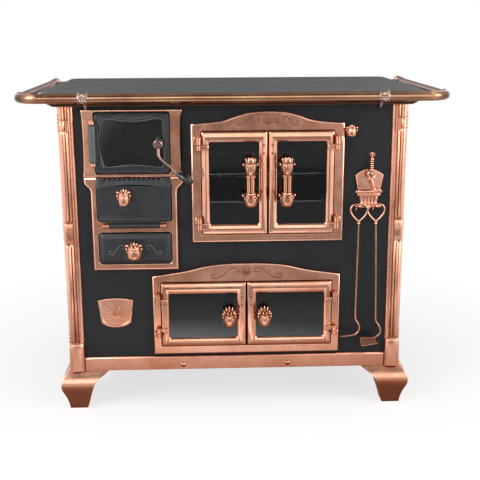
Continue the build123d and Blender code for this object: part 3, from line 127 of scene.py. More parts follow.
def ring_edges(bm, points):
    verts = [bm.verts.new(p) for p in points]
    return verts, [bm.edges.new(pair) for pair in zip(verts, verts[1:] + verts[:1])]


def wear_and_highlight_layer(bm):
    """Face attribute that is 1 on rounded edges, where the finish is rubbed and a highlight is painted."""
    return bm.faces.layers.float.get("wear_and_highlight") or bm.faces.layers.float.new("wear_and_highlight")


def bevel(bm, edges, width, segments=2):
    """Rounds edges and marks the new faces as rubbed, with a painted highlight."""
    wear_and_highlight = wear_and_highlight_layer(bm)
    made = bmesh.ops.bevel(bm, geom=edges, offset=width, segments=segments, profile=0.5, affect="EDGES",
                           material=-1, clamp_overlap=True, loop_slide=False)
    for face in made["faces"]:
        face[wear_and_highlight] = 1.0


def sharp_edges(bm, angle):
    return [e for e in bm.edges if len(e.link_faces) == 2 and e.calc_face_angle() > radians(angle)]


def clean(bm):
    """Merges doubles and points the faces outwards."""
    bmesh.ops.remove_doubles(bm, verts=bm.verts, dist=1e-3)
    bmesh.ops.recalc_face_normals(bm, faces=bm.faces)
    return bm


def move(bm, matrix):
    bmesh.ops.transform(bm, matrix=matrix, verts=bm.verts)
    return bm


def joined(parts):
    """All the parts in the first one's mesh."""
    whole = parts[0]
    wear_and_highlight_layer(whole)
    for part in parts[1:]:
        mesh = bpy.data.meshes.new("part")
        part.to_mesh(mesh)
        part.free()
        whole.from_mesh(mesh)
        bpy.data.meshes.remove(mesh)
    return whole


def paint(bm, index):
    """Gives a whole part one of its piece's materials, by index."""
    for face in bm.faces:
        face.material_index = index
    return bm


def lathe(profile, at=(0, 0, 0), axis=UP, steps=32, closed=False):
    """Turned shape from (radius, height) points about an axis; a closed profile makes a ring."""
    bm = bmesh.new()
    verts = [bm.verts.new((r, 0, h)) for r, h in profile]
    edges = [bm.edges.new(pair) for pair in zip(verts, verts[1:])]
    if closed:
        edges.append(bm.edges.new((verts[-1], verts[0])))
    bmesh.ops.spin(bm, geom=verts + edges, cent=(0, 0, 0), axis=UP, angle=2 * pi, steps=steps,
                   use_merge=True)
    clean(bm)
    turn = Vector(UP).rotation_difference(Vector(axis)).to_matrix().to_4x4()
    return move(bm, Matrix.Translation(at) @ turn)


def torus(major, minor, at, sides=10):
    """Ring that faces forward."""
    turns = [2 * pi * k / sides for k in range(sides)]
    return lathe([(major + minor * cos(t), minor * sin(t)) for t in turns], at, BACK, 28, closed=True)


def ball(at, radius, scale=(1, 1, 1)):
    bm = bmesh.new()
    bmesh.ops.create_icosphere(bm, subdivisions=2, radius=radius)
    return move(bm, Matrix.Translation(at) @ Matrix.Diagonal((*scale, 1)))


def block(x0, x1, v0, v1, z0, z1, edge=1.0, segments=2):
    """Box between two corners, with rounded edges."""
    bm = bmesh.new()
    bmesh.ops.create_cube(bm, size=1)
    move(bm, Matrix.Translation(((x0 + x1) / 2, (v0 + v1) / 2, (z0 + z1) / 2))
         @ Matrix.Diagonal((abs(x1 - x0), abs(v1 - v0), abs(z1 - z0), 1)))
    if edge:
        bevel(bm, bm.edges[:], edge, segments)
    return bm


def tube(points, radius, taper=None, closed=False, sides=3, steps=5):
    """Round wire along a smooth line near the points; taper gives each point's share of the radius."""
    curve = bpy.data.curves.new("wire", "CURVE")
    curve.dimensions = "3D"
    curve.bevel_depth = radius
    curve.bevel_resolution = sides
    curve.use_fill_caps = True
    spline = curve.splines.new("NURBS")
    spline.points.add(len(points) - 1)
    for point, co, share in zip(spline.points, points, taper or [1.0] * len(points)):
        point.co = (*co, 1)
        point.radius = share
    spline.use_cyclic_u = closed
    spline.use_endpoint_u = not closed
    spline.order_u = 3
    spline.resolution_u = steps
    holder = bpy.data.objects.new("wire", curve)
    mesh = bpy.data.meshes.new_from_object(holder)
    bm = bmesh.new()
    bm.from_mesh(mesh)
    bpy.data.objects.remove(holder)
    bpy.data.curves.remove(curve)
    bpy.data.meshes.remove(mesh)
    return clean(bm)


def loft(rings, closed=False):
    """Skin over a row of closed rings of points; the ends are filled unless the row closes on itself."""
    bm = bmesh.new()
    edges = [ring_edges(bm, ring)[1] for ring in rings]
    for a, b in zip(edges, edges[1:] + (edges[:1] if closed else [])):
        bmesh.ops.bridge_loops(bm, edges=a + b)
    if not closed:
        bmesh.ops.holes_fill(bm, edges=edges[0] + edges[-1], sides=0)
    bmesh.ops.recalc_face_normals(bm, faces=bm.faces)
    return bm


def plate(outline, front, back, holes=(), edge=1.5, hole_edge=0.0, segments=3):
    """Flat plate with holes, its front edges rounded."""
    bm = bmesh.new()
    rings = [ring_edges(bm, [(x, front, z) for x, z in loop])[0] for loop in (outline, *holes)]
    bmesh.ops.triangle_fill(bm, edges=bm.edges[:], use_beauty=True, normal=(0, -1, 0))
    bmesh.ops.dissolve_limit(bm, angle_limit=0.01, verts=[], edges=bm.edges[:])
    grown = bmesh.ops.extrude_face_region(bm, geom=bm.faces[:])
    moved = [v for v in grown["geom"] if isinstance(v, bmesh.types.BMVert)]
    bmesh.ops.translate(bm, vec=(0, back - front, 0), verts=moved)
    bmesh.ops.recalc_face_normals(bm, faces=bm.faces[:])
    for verts, width in zip(rings, [edge] + [hole_edge] * len(holes)):
        bevel(bm, [bm.edges.get(pair) for pair in zip(verts, verts[1:] + verts[:1])], width, segments)
    return bm


def petal(at, size, lean=0.0, turn=0.0, out=0.0, tip=0.6):
    """Pointed leaf standing on a spot: size is width, thickness, height; it leans outwards by an angle."""
    bm = bmesh.new()
    bmesh.ops.create_uvsphere(bm, u_segments=10, v_segments=8, radius=0.5)
    for vert in bm.verts:
        share = 1 - tip * max(0.0, 2 * vert.co.z) ** 2
        vert.co.x *= share
        vert.co.y *= share
    width, thickness, height = size
    return move(bm, Matrix.Translation(at) @ Matrix.Rotation(radians(turn), 4, "Z")
                @ Matrix.Translation((0, -out, 0)) @ Matrix.Rotation(radians(lean), 4, "X")
                @ Matrix.Translation((0, 0, height / 2)) @ Matrix.Diagonal((width, thickness, height, 1)))


def whorl(at, count, size, lean, out, start=0.0, tip=0.6):
    """Ring of leaves round a spot, out millimetres from it."""
    return [petal(at, size, lean, start + 360 * k / count, out, tip) for k in range(count)]


def dressed(node, width, angle, segments=2):
    """Copy of a CAD node's mesh, merged, with the edges sharper than an angle rounded."""
    bm = bmesh.new()
    bm.from_mesh(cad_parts[node].data)
    move(bm, PLACE.inverted())
    bmesh.ops.remove_doubles(bm, verts=bm.verts, dist=0.01)
    bmesh.ops.dissolve_limit(bm, angle_limit=radians(0.5), verts=bm.verts[:], edges=bm.edges[:])
    bevel(bm, sharp_edges(bm, angle), width, segments)
    return bm


SQUARE, SMALL_FACE = 0.9999, 1.5e-4  # larger faces that are square to the frame are shaded flat
CREASE = radians(32)


def finish(name, parts, materials, body="stove", replaces=()):
    """Puts a modelled shape into the frame as a piece that rides on a body."""
    bm = joined(parts)
    move(bm, PLACE)
    for face in bm.faces:
        face.smooth = max(map(abs, face.normal)) < SQUARE or face.calc_area() < SMALL_FACE
    for edge in bm.edges:
        edge.smooth = len(edge.link_faces) != 2 or edge.calc_face_angle() < CREASE
    mesh = bpy.data.meshes.new(name)
    bm.to_mesh(mesh)
    bm.free()
    for material in materials:
        mesh.materials.append(material())
    piece = bpy.data.objects.new(name, mesh)
    bpy.context.scene.collection.objects.link(piece)
    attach(piece, body)
    if replaces:
        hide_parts(*replaces)


def coat(material, *nodes):
    """Gives CAD nodes that stay as they are a better material."""
    for node in nodes:
        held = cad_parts[node]
        if not held.material_slots:
            held.data.materials.append(None)
        for place in held.material_slots:
            place.material = material()


# ---- materials
class Graph:
    """Node tree with short names for what the finishes and the stage use."""

    def __init__(self, tree):
        self.tree = tree
        self.place = self.node("ShaderNodeTexCoord").outputs["Object"]

    def node(self, kind, settings=None, **sockets):
        node = self.tree.nodes.new(kind)
        for key, value in (settings or {}).items():
            setattr(node, key, value)
        for key, value in sockets.items():
            self.plug(node.inputs[key.replace("_", " ")], value)
        return node

    def plug(self, socket, value):
        if isinstance(value, bpy.types.NodeSocket):
            self.tree.links.new(value, socket)
        else:
            socket.default_value = value

    def noise(self, scale, detail=4.0, rough=0.55):
        return self.node("ShaderNodeTexNoise", Vector=self.place, Scale=scale, Detail=detail,
                         Roughness=rough).outputs["Fac"]

    def level(self, value, low, high, out_low=0.0, out_high=1.0):
        """The value's place between low and high, as a number between the two outs."""
        return self.node("ShaderNodeMapRange", Value=value, From_Min=low, From_Max=high, To_Min=out_low,
                         To_Max=out_high).outputs[0]

    def calc(self, operation, a, b):
        node = self.node("ShaderNodeMath", {"operation": operation})
        self.plug(node.inputs[0], a)
        self.plug(node.inputs[1], b)
        return node.outputs[0]

    def times(self, a, b):
        return self.calc("MULTIPLY", a, b)

    def size(self, value):
        """The value without its sign."""
        return self.calc("ABSOLUTE", value, 0.0)

    def largest(self, first, *others):
        for other in others:
            first = self.calc("MAXIMUM", first, other)
        return first

    def smallest(self, first, *others):
        for other in others:
            first = self.calc("MINIMUM", first, other)
        return first

    def mix(self, factor, a, b):
        node = self.node("ShaderNodeMix", {"data_type": "RGBA"})
        self.plug(node.inputs[0], factor)
        self.plug(node.inputs[6], a)
        self.plug(node.inputs[7], b)
        return node.outputs[2]

    def blend(self, factor, a, b):
        """Mix of two shaders."""
        node = self.node("ShaderNodeMixShader")
        for socket, value in zip(node.inputs, (factor, a, b)):
            self.plug(socket, value)
        return node.outputs[0]


class Surface(Graph):
    """Node tree of one material."""

    def __init__(self, name):
        self.material = bpy.data.materials.new(name)
        self.material.use_nodes = True
        super().__init__(self.material.node_tree)
        self.shader = self.tree.nodes["Principled BSDF"]

    def crevice(self, distance):
        """0 in the open, 1 in a tight corner: the mask of the painted shade in corners."""
        node = self.node("ShaderNodeAmbientOcclusion", {"samples": 8}, Distance=distance)
        return self.level(node.outputs["AO"], 0.45, 0.95, 1.0, 0.0)

    def wear_and_highlight(self):
        """Bevelled edges, broken up: the mask of rubbed edges with a painted highlight."""
        edge = self.node("ShaderNodeAttribute", {"attribute_name": "wear_and_highlight"}).outputs["Fac"]
        return self.times(edge, self.level(self.noise(38.0), 0.2, 0.5))

    def bump(self, height, depth, strength):
        node = self.node("ShaderNodeBump", Height=height, Distance=depth, Strength=strength)
        self.plug(self.shader.inputs["Normal"], node.outputs[0])

    def end(self, colour, roughness, **values):
        self.plug(self.shader.inputs["Base Color"], colour)
        self.plug(self.shader.inputs["Roughness"], roughness)
        for key, value in values.items():
            self.shader.inputs[key.replace("_", " ")].default_value = value


def rgb(colour, share=1.0):
    """Colour of a socket, times one share."""
    return (colour[0] * share, colour[1] * share, colour[2] * share, 1.0)


def tint(colour, *shares):
    """Colour times one share, or times a share each for red, green and blue."""
    return [c * share for c, share in zip(colour, shares * 3 if len(shares) == 1 else shares)]


def grey(value):
    return rgb((value, value, value))


def metal(s, colour, shade, roughness, depth=0.00008, corner_shade=0.5, painted_dark_ends=None):
    """Plated or cast metal: clouds of tone, painted shade in corners, rubbed edges with a painted highlight,
    and a fine grain.

    painted_dark_ends is the distance to either side at which the ends start to darken, and where they are
    dark:
    painted shade for the dark that the bent ends reflect.
    """
    clouds = s.level(s.noise(7.0, 5.0, 0.6), 0.38, 0.66)
    tone = s.mix(clouds, rgb(colour), rgb(shade))
    tone = s.mix(s.times(s.level(s.noise(90.0, 5.0), 0.45, 0.75), 0.35), tone, rgb(shade, 0.8))
    # corners darkened: painted shade
    tone = s.mix(s.times(s.crevice(0.012), corner_shade), tone, rgb(shade, 0.28))
    # rounded edges lightened: rubbed, and a painted highlight
    tone = s.mix(s.wear_and_highlight(), tone, rgb([min(1.0, c * 1.14 + 0.03) for c in colour]))
    if painted_dark_ends:
        x = s.node("ShaderNodeSeparateXYZ", Vector=s.place).outputs["X"]
        # ends darkened: painted shade for the dark that the bent ends reflect
        tone = s.mix(s.level(s.size(x), *painted_dark_ends), tone, rgb(shade, 0.12))
    rough = s.level(s.noise(34.0, 6.0), 0.3, 0.7, roughness - 0.06, roughness + 0.09)
    s.bump(s.noise(420.0, 3.0), depth, 0.5)
    s.end(tone, rough, Metallic=1.0)


def dull_coat(s, colour, shade, roughness, grain, depth, specular, corner_shade=0.4, near=0.012, wear_and_highlight_colour=None,
              glint_speck=0.0):
    """Blackened iron or enamel: dull coat with a grain and painted shade in corners; some get light flecks
    that also stand as painted glints, some rubbed edges with a painted highlight.
    """
    tone = s.mix(s.level(s.noise(11.0, 6.0, 0.6), 0.35, 0.68), rgb(colour), rgb(shade))
    # corners darkened: painted shade
    tone = s.mix(s.times(s.crevice(near), corner_shade), tone, rgb(shade, 0.25))
    if glint_speck:
        # light flecks: grain that also stands as painted glints
        glint_specks = s.times(s.level(s.noise(340.0, 2.0), 0.52, 0.72), glint_speck)
        tone = s.mix(glint_specks, tone, rgb(tint(colour, 5.0)))
    if wear_and_highlight_colour:
        # rounded edges lightened: rubbed, and a painted highlight
        tone = s.mix(s.times(s.wear_and_highlight(), 0.7), tone, rgb(wear_and_highlight_colour))
    rough = s.level(s.noise(46.0, 6.0), 0.3, 0.7, roughness - 0.07, roughness + 0.1)
    s.bump(s.noise(grain, 4.0, 0.65), depth, 0.6)
    s.end(tone, rough, Specular_IOR_Level=specular)


def surface(make):
    """Turns the making of a finish into a call for its material, which is made the first time."""

    @wraps(make)
    def material():
        name = make.__name__
        if name not in bpy.data.materials:
            make(Surface(name), bpy.context.scene.cookstove_finish)
        return bpy.data.materials[name]

    return material


@surface
def copper_cast(s, f):
    metal(s, f.copper, f.copper_shade, f.copper_roughness)


@surface
def copper_polished(s, f):
    metal(s, f.copper, f.copper_shade, f.copper_roughness * 0.6, 0.00005, 0.75)


@surface
def copper_dull(s, f):
    metal(s, tint(f.copper, 0.48, 0.62, 0.78), tint(f.copper_shade, 0.45, 0.62, 0.82),
          f.copper_roughness * 1.1)


@surface
def copper_rail_painted_dark(s, f):
    """Towel rail: burnished, darkened as painted shade, and darkest at both ends, a painted dark reflection.
    """
    metal(s, tint(f.copper, 0.6, 0.66, 0.55), tint(f.copper_shade, 0.5), f.copper_roughness * 0.6, 0.00003,
          painted_dark_ends=((RAIL_X1 - 52) * MM, (RAIL_X1 - 14) * MM))


@surface
def copper_pale(s, f):
    metal(s, tint(f.copper, 0.62, 0.8, 1.0), tint(f.copper_shade, 0.6, 0.8, 1.05), f.copper_roughness * 1.5)


@surface
def copper_patina(s, f):
    metal(s, tint(f.copper_shade, 0.4), tint(f.copper_shade, 0.22), 0.5)


# Cornice under the rail: copper darkened far below its tone, painted shade for the shadow under the rail
@surface
def copper_painted_shade(s, f):
    metal(s, tint(f.copper_shade, 0.12), tint(f.copper_shade, 0.05), 0.45)


@surface
def tool_copper(s, f):
    metal(s, tint(f.copper, 0.75), tint(f.copper_shade, 0.5), 0.2)


@surface
def bright_steel(s, f):
    metal(s, (0.62, 0.62, 0.60), (0.36, 0.36, 0.35), 0.32)


@surface
def raw_steel(s, f):
    metal(s, (0.20, 0.20, 0.20), (0.10, 0.095, 0.09), 0.5, 0.0004)


@surface
def black_cast(s, f):
    dull_coat(s, f.black, tint(f.black, 0.6), 0.38, 380.0, 0.0007, 0.5, wear_and_highlight_colour=tint(f.black, 4.5), glint_speck=0.8)


@surface
def black_panel(s, f):
    # corner darkening 5 cm wide: painted shade round what stands on the panel
    dull_coat(s, f.panel, tint(f.panel, 0.75), 0.42, 1400.0, 0.00012, 0.25, 0.85, near=0.05)


@surface
def iron_plate(s, f):
    dull_coat(s, f.plate, tint(f.plate, 0.7), 0.5, 1100.0, 0.00018, 0.3, wear_and_highlight_colour=tint(f.plate, 2.2))


@surface
def burnished_iron(s, f):
    dull_coat(s, (0.085, 0.087, 0.092), (0.05, 0.05, 0.054), 0.36, 700.0, 0.0002, 0.7)


@surface
def dark_lining(s, f):
    dull_coat(s, (0.012, 0.012, 0.013), (0.006, 0.006, 0.007), 0.5, 500.0, 0.0003, 0.2)


@surface
def grey_engraving_and_rim_highlight(s, f):
    dull_coat(s, (0.21, 0.22, 0.24), (0.10, 0.105, 0.11), 0.4, 800.0, 0.0002, 0.5)


@surface
def grip_gloss(s, f):
    tone = s.mix(s.level(s.noise(60.0), 0.4, 0.7), rgb((0.004, 0.004, 0.005)), rgb((0.009, 0.009, 0.010)))
    s.end(tone, s.level(s.noise(120.0, 5.0), 0.3, 0.7, 0.05, 0.1), Specular_IOR_Level=0.6)


@surface
def fire_brick(s, f):
    tone = s.mix(s.level(s.noise(70.0, 6.0), 0.35, 0.65), rgb((0.42, 0.29, 0.19)), rgb((0.26, 0.17, 0.11)))
    s.bump(s.noise(320.0, 6.0, 0.7), 0.001, 0.7)
    s.end(tone, s.level(s.noise(90.0), 0.3, 0.7, 0.85, 0.95))


@surface
def clear_pane(s, f):
    tone = s.mix(s.level(s.noise(16.0, 6.0, 0.65), 0.45, 0.75), rgb(f.glass), rgb(f.glass, 0.8))
    rough = s.level(s.noise(30.0, 6.0), 0.35, 0.75, 0.015, 0.06)
    s.end(tone, rough, Transmission_Weight=1.0, IOR=1.45)


# ---- ornament
# share of the box's width and height, from one curled end to the other
S_SCROLL = [(0.24, 0.36), (0.13, 0.44), (0.03, 0.30), (0.06, 0.08), (0.22, 0.0), (0.40, 0.22), (0.60, 0.78),
            (0.78, 1.0), (0.94, 0.92), (0.97, 0.70), (0.87, 0.56), (0.76, 0.64)]


def scroll(x0, x1, z0, z1, v, wire, flip=False):
    """S-shaped scroll line in a box, its ends curled; flip mirrors it left to right."""
    points = [((1 - px if flip else px), pz) for px, pz in S_SCROLL]
    return tube([(x0 + (x1 - x0) * px, v, z0 + (z1 - z0) * pz) for px, pz in points], wire,
                [0.5, 0.8] + [1.0] * (len(points) - 4) + [0.8, 0.5], steps=4)


def scroll_pair(left, right, z0, z1, v, wire):
    """Two scrolls that mirror each other, each between two places across."""
    return [scroll(*left, z0, z1, v, wire), scroll(*right, z0, z1, v, wire, True)]


def palmette(x, z, v, height, wire, count=5, spread=62):
    """Fan of thin leaves in relief over two beads."""
    parts = []
    for k in range(count):
        share = 2 * k / (count - 1) - 1
        angle, reach = radians(spread * share), height * (1 - 0.18 * abs(share))
        tip = (x + reach * sin(angle), v, z + reach * cos(angle))
        middle = tuple((a + b) / 2 for a, b in zip((x, v, z), tip))
        parts.append(tube([(x, v, z), middle, tip], wire * 1.25, [0.4, 1.0, 0.5], steps=4))
    for side in (-1, 1):
        parts.append(ball((x + side * height * 0.32, v, z - wire), wire * 1.1))
    return parts


# share of the bulb's radius and of its half height
BULB = [(0, -1), (0.62, -0.99), (0.84, -0.9), (0.96, -0.68), (0.99, -0.4), (1, 0), (1, 0.4), (0.96, 0.62),
        (1.0, 0.72), (0.97, 0.86), (0.7, 1), (0, 1)]


def crown_knob(x, v, z, width, height, total, base_v):
    """Turned knob with a crown of petals, side beads and a stem to its seat; z is the bulb's middle."""
    z, height = z + height * 0.1, height * 1.2
    r, h = width * 0.58, height / 2
    rest = total - height
    parts = [lathe([(r * a, z + h * b) for a, b in BULB], (x, v, 0), steps=28)]
    parts += whorl((x, v, z + h * 0.7), 9, (r * 0.46, r * 0.24, rest * 0.66), 16, r * 0.74, 20, 0.5)
    parts += whorl((x, v, z + h * 0.8), 6, (r * 0.36, r * 0.24, rest * 0.9), 13, r * 0.36, 0, 0.72)
    parts.append(petal((x, v, z + h * 0.8), (r * 0.36, r * 0.28, rest * 1.04), tip=0.75))
    parts += whorl((x, v, z - h * 0.8), 7, (r * 0.8, r * 0.16, h * 1.35), 3, r * 0.92, 0, 0.5)
    for side in (-1, 1):
        parts.append(ball((x + side * r, v - r * 0.4, z + h * 1.12), r * 0.27))
        parts.append(ball((x + side * r * 1.08, v - r * 0.1, z + h * 0.5), r * 0.2, (1, 0.8, 1.5)))
    stem = [(0, v), (r * 0.34, v), (r * 0.3, base_v - 4), (r * 0.55, base_v - 2), (r * 0.6, base_v),
            (0, base_v)]
    parts.append(lathe(stem, (x, 0, z), BACK, 20))
    return parts


# ---- top, posts, feet
def cooktop():
    finish("cooking_plate_top", [dressed("cooking_plate", 1.2, 40)], [iron_plate],
           replaces=["cooking_plate"])
    finish("cornice_moulding", [dressed("cornice", 2.2, 30, 3)], [copper_painted_shade], replaces=["cornice"])


POST_W = 42.0
POST_EDGE_X = POST_X0 + POST_W - 5.8  # rounded outer corner, where the shells and bands sit
# across the post: distance from its inner face, plain depth, reeded depth and which reed it is on
POST_SECTION = [
    (0, 52, 52, 0), (0, 20.5, 20.5, 0), (1.2, 17.4, 17.4, 0), (3.4, 15.2, 15.2, 0), (6, 14, 14, 0),
    (10.5, 14, 14, 0), (12, 13, 13, 0), (12.8, 11, 11, 0), (13.6, 8.6, 8.6, 0), (14.6, 8, 5.6, 1),
    (15.8, 8, 4.3, 1), (17.2, 8, 3.9, 1), (18.8, 8, 4.4, 1), (20.2, 8, 5.8, 1), (21.2, 8, 7.6, 1),
    (22.2, 8, 5.8, 2), (24, 8, 3.8, 2), (26.4, 8, 2.8, 2), (29, 8, 2.5, 2), (31.6, 8, 3.2, 2),
    (34, 8.4, 5.0, 2), (36, 9.8, 7.8, 2), (37.2, 11, 10.6, 2), (38.8, 13.4, 13.2, 2), (40.2, 16.4, 16.4, 0),
    (41.4, 19.6, 19.6, 0), (POST_W, 24, 24, 0), (POST_W, 52, 52, 0)]
# up the post: height, and the share there of the small reed, the large reed and the flat pad
POST_LEVELS = [
    (108, 0, 0, 0), (190, 0, 0, 0), (191, 0.5, 0.5, 0), (195, 1, 1, 0), (459, 1, 1, 0), (463, 0.5, 0.5, 0),
    (464.5, 0, 0, 0), (467.5, 0, 0, 0), (468.5, 0, 0, 0.7), (471, 0, 0, 1), (518, 0, 0, 1),
    (520.5, 0, 0, 0.7), (521.5, 0, 0, 0), (524.5, 0, 0, 0), (526, 0.5, 0.5, 0), (530, 1, 1, 0),
    (754, 1, 1, 0), (758, 0.5, 0.9, 0), (760, 0, 0.72, 0), (762.5, 0, 0.72, 0), (764, 0, 1, 0),
    (784, 0, 1, 0), (786, 0, 0.72, 0), (789, 0, 0.72, 0), (791, 0.5, 1, 0), (794, 1, 1, 0), (824, 1, 1, 0)]
# across the foot block, distance from the inner face and depth; and up it, height and inset
BLOCK_SECTION = [(1, 51), (1, 13), (2.4, 8.4), (6.5, 5.2), (13, 3.6), (21.5, 2.9), (30, 3.4), (36.5, 4.8),
                 (40.6, 8), (42.3, 13), (42.4, 51)]
BLOCK_LEVELS = [(FOOT_TOP + 0.2, 1.0), (FOOT_TOP + 2.6, -0.6), (FOOT_TOP + 12, -0.3), (142, 0), (160, 0.2),
                (174, 0.7), (182, 1.4), (186, 2.4)]
BLOCK_MIDDLE = 21.5
# stacks of small shells on the outer corner: foot of the stack and how many
SHELLS, SHELL_PITCH = ((469, 5), (753, 5), (182, 3)), 10.0


def post(side, hand):
    """Corner post: two reeds between a chamfer and a rounded corner, with carved bands and a foot block."""

    def ring(z, small, large, pad):
        amount = (0, small, large)
        line = []
        for a, plain, reeded, reed in POST_SECTION:
            depth = plain + (reeded - plain) * amount[reed]
            if reed:
                depth += (max(plain - 3.2, 4.8) - plain) * pad
            line.append((side * (POST_X0 + a), depth, z))
        return line

    def block_ring(z, inset):
        grow = 1 - inset / 21
        return [(side * (POST_X0 + BLOCK_MIDDLE + (a - BLOCK_MIDDLE) * grow), v + (inset if v < 50 else 0), z)
                for a, v in BLOCK_SECTION]

    parts = [loft([make(*level) for level in levels])
             for make, levels in ((ring, POST_LEVELS), (block_ring, BLOCK_LEVELS))]
    dark = []
    x, v = side * POST_EDGE_X, 12.6
    for low, count in SHELLS:
        for k in range(count):
            z = low + SHELL_PITCH * (k + 0.5)
            parts.append(ball((x - side * 2.4, v + 1.5, z), 5.0, (1.4, 1, 0.98)))
            bow = [(-6.0, -6.4, 4.0), (-1.0, -4.4, 5.0), (2.6, -1.6, 5.0), (5.0, 3.4, 4.6)]
            dark.append(tube([(x + side * a, v + b, z + c) for a, b, c in bow], 0.85, steps=3))
    vein = [(-7, 4.8, 476), (-1, 4.7, 484), (2, 4.7, 494), (7, 4.8, 500)]
    dark.append(tube([(side * (POST_X0 + 27 + a), b, c) for a, b, c in vein], 0.7, steps=4))
    finish("corner_post_" + hand, parts + [paint(d, 1) for d in dark], [copper_cast, copper_patina],
           replaces=["post_" + hand])


def feet():
    for place in ("front_left", "front_right", "rear_left", "rear_right"):
        foot = "foot_" + place
        finish("leg_" + place, [dressed(foot, 3.0, 38, 4)], [copper_cast], replaces=[foot])


def plinth():
    """Strip between the front feet, with two round-headed slotted screws."""
    finish("plinth_strip", [dressed("front_plinth", 0.35, 30)], [copper_cast], replaces=["front_plinth"])
    x0, x1, v0, v1, z0, z1 = span("plinth_bolts")
    r, z = (z1 - z0) / 2, (z0 + z1) / 2
    head = [(0, v0), (r * 0.45, v0 + 0.1), (r * 0.8, v0 + 1.2), (r * 0.95, v0 + 2.6), (r, v1), (0, v1)]
    parts = []
    for x in (x0 + r, x1 - r):
        parts.append(lathe(head, (x, 0, z), BACK, 24))
        parts.append(paint(block(x - r * 0.62, x + r * 0.62, v0 - 0.2, v0 + 0.6, z - 0.7, z + 0.7, 0.2), 1))
    finish("plinth_screws", parts, [tool_copper, copper_patina], replaces=["plinth_bolts"])


# ---- rail
def side_rail(side, hand):
    """Rod behind the bent tube: double collar, long rod, ringed end knob."""
    r, rod, knob = 13.4, 10.0, 13.0
    v0, v1 = TUBE_V + 50.0, PLATE_BACK
    profile = [(0, v0), (r - 1.5, v0), (r, v0 + 1.2), (r, v0 + 2.8), (r - 2, v0 + 4.0), (r - 0.6, v0 + 5.2),
               (r - 0.6, v0 + 7.2), (rod + 1.4, v0 + 9.0), (rod, v0 + 11), (rod, v1 - 14),
               (rod + 2.6, v1 - 12.5), (rod + 3.2, v1 - 10), (rod + 2.2, v1 - 8), (rod - 0.6, v1 - 6.5),
               (rod - 0.6, v1 - 4.5), (rod + 2.5, v1 - 3.2), (knob - 1.2, v1 + 0.6), (knob, v1 + 5.5),
               (knob - 0.4, v1 + 12), (knob - 2.6, v1 + 18), (knob - 6.2, v1 + 22), (4, v1 + 22.9),
               (0, v1 + 23)]
    finish("rail_rod_" + hand, [lathe(profile, (side * ROD_X, 0, TUBE_Z), BACK)], [copper_pale],
           replaces=["side_rail_" + hand])


def rosette(x, v, z, radius):
    """Flower of eight petals round a bead, facing forward."""
    disc = [(0, -1.6), (radius * 0.96, -1.6), (radius, 0), (radius * 0.9, 1.6), (0, 2.2)]
    parts = [lathe(disc, (x, v, z), (0, -1, 0))]
    for k in range(8):
        leaf = petal((0, 0, 0), (radius * 0.62, radius * 0.34, radius * 0.82), tip=0.35)
        parts.append(move(leaf, Matrix.Translation((x, v - 2.0, z)) @ Matrix.Rotation(radians(45 * k), 4, "Y")
                          @ Matrix.Translation((0, 0, radius * 0.16))))
    return parts + [ball((x, v - 2.6, z), radius * 0.3)]


def brackets():
    """Rail holders: a clasp with a rosette and a curled arm in front, a socket and a ring at the rear."""
    rosette_v = span("rail_brackets")[2] + 6.4
    grip = TUBE_R + 1.7
    clasp = [(TUBE_R - 0.2, -13), (grip, -13), (grip + 0.9, -11.5), (grip + 0.9, -9.5), (grip - 0.6, -8),
             (grip - 0.6, 8), (grip + 0.9, 9.5), (grip + 0.9, 11.5), (grip, 13), (TUBE_R - 0.2, 13)]
    ring = [(7.9, -9), (11, -9), (12, -7), (11, -5), (11, 5), (12, 7), (11, 9), (7.9, 9)]
    edge, rear_v = PLATE_X1 - 4.0, PLATE_BACK - 30.0
    reach = ROD_X - edge - 8
    socket = [(0, 0), (9, 0), (9, 2), (6, 4), (4.6, 8), (4.6, reach - 3), (6, reach), (0, reach)]
    parts = []
    for side in (-1, 1):
        x = side * (PLATE_X1 - 114.0)
        parts.append(lathe(clasp, (x, TUBE_V, TUBE_Z), RIGHT, closed=True))
        parts += rosette(x, rosette_v, TUBE_Z, 12.4)
        arm = [(TUBE_V + grip - 3, -2), (TUBE_V + 24, -6), (-5, -14), (1.5, -21), (3.0, -30)]
        parts.append(tube([(x, v, TUBE_Z + z) for v, z in arm], 6.4, [1.0, 0.85, 0.8, 1.0, 0.55], sides=4))
        parts.append(ball((x, 1.0, TUBE_Z - 19), 7.0, (1, 0.6, 1.2)))
        parts.append(lathe(socket, (side * edge, rear_v, TUBE_Z), (side, 0, 0), 24))
        parts.append(lathe(ring, (side * ROD_X, rear_v, TUBE_Z), BACK, 28, closed=True))
    finish("rail_holders", parts, [copper_dull], replaces=["rail_brackets"])


# ---- surrounds and pairs of doors
Doors = namedtuple("Doors", "x half z0 z1 stile meeting_stile foot_rail head_rail")
OVEN_DOORS = Doors(OVEN_X, OVEN_X1 - OVEN_X - 27.0, OVEN_Z0 + 22.0, OVEN_CREST - 52.0, 20.0, 22.0, 27.0, 27.0)
CUP_DOORS = Doors(CUP_X, CUP_X1 - CUP_X - 22.0, CUP_Z0 + 23.0, CUP_CREST - 51.0, 21.0, 24.0, 23.0, 31.0)
# of the top hinge, then the bottom one: fixed knuckle from and to, moving knuckle from and to
OVEN_HINGES = [(725.5, 746.0, 711.0, 725.0), (520.0, 535.0, 502.0, 519.5)]
CUP_HINGES = [(313.5, 326.0, 301.0, 313.0), (208.0, 219.0, 219.5, 231.0)]
HINGE_OUT = 7.5  # from a door's edge to its pin
# right half of a surround's head: distance from its middle and rise above its shoulders
OVEN_ARCH = [(121.5, 7.0), (80.0, 20.0), (45.0, 29.0), (0.0, 32.0)]
CUP_ARCH = [(158.5, 14.0), (107.0, 26.0), (54.0, 32.0), (0.0, 33.0)]


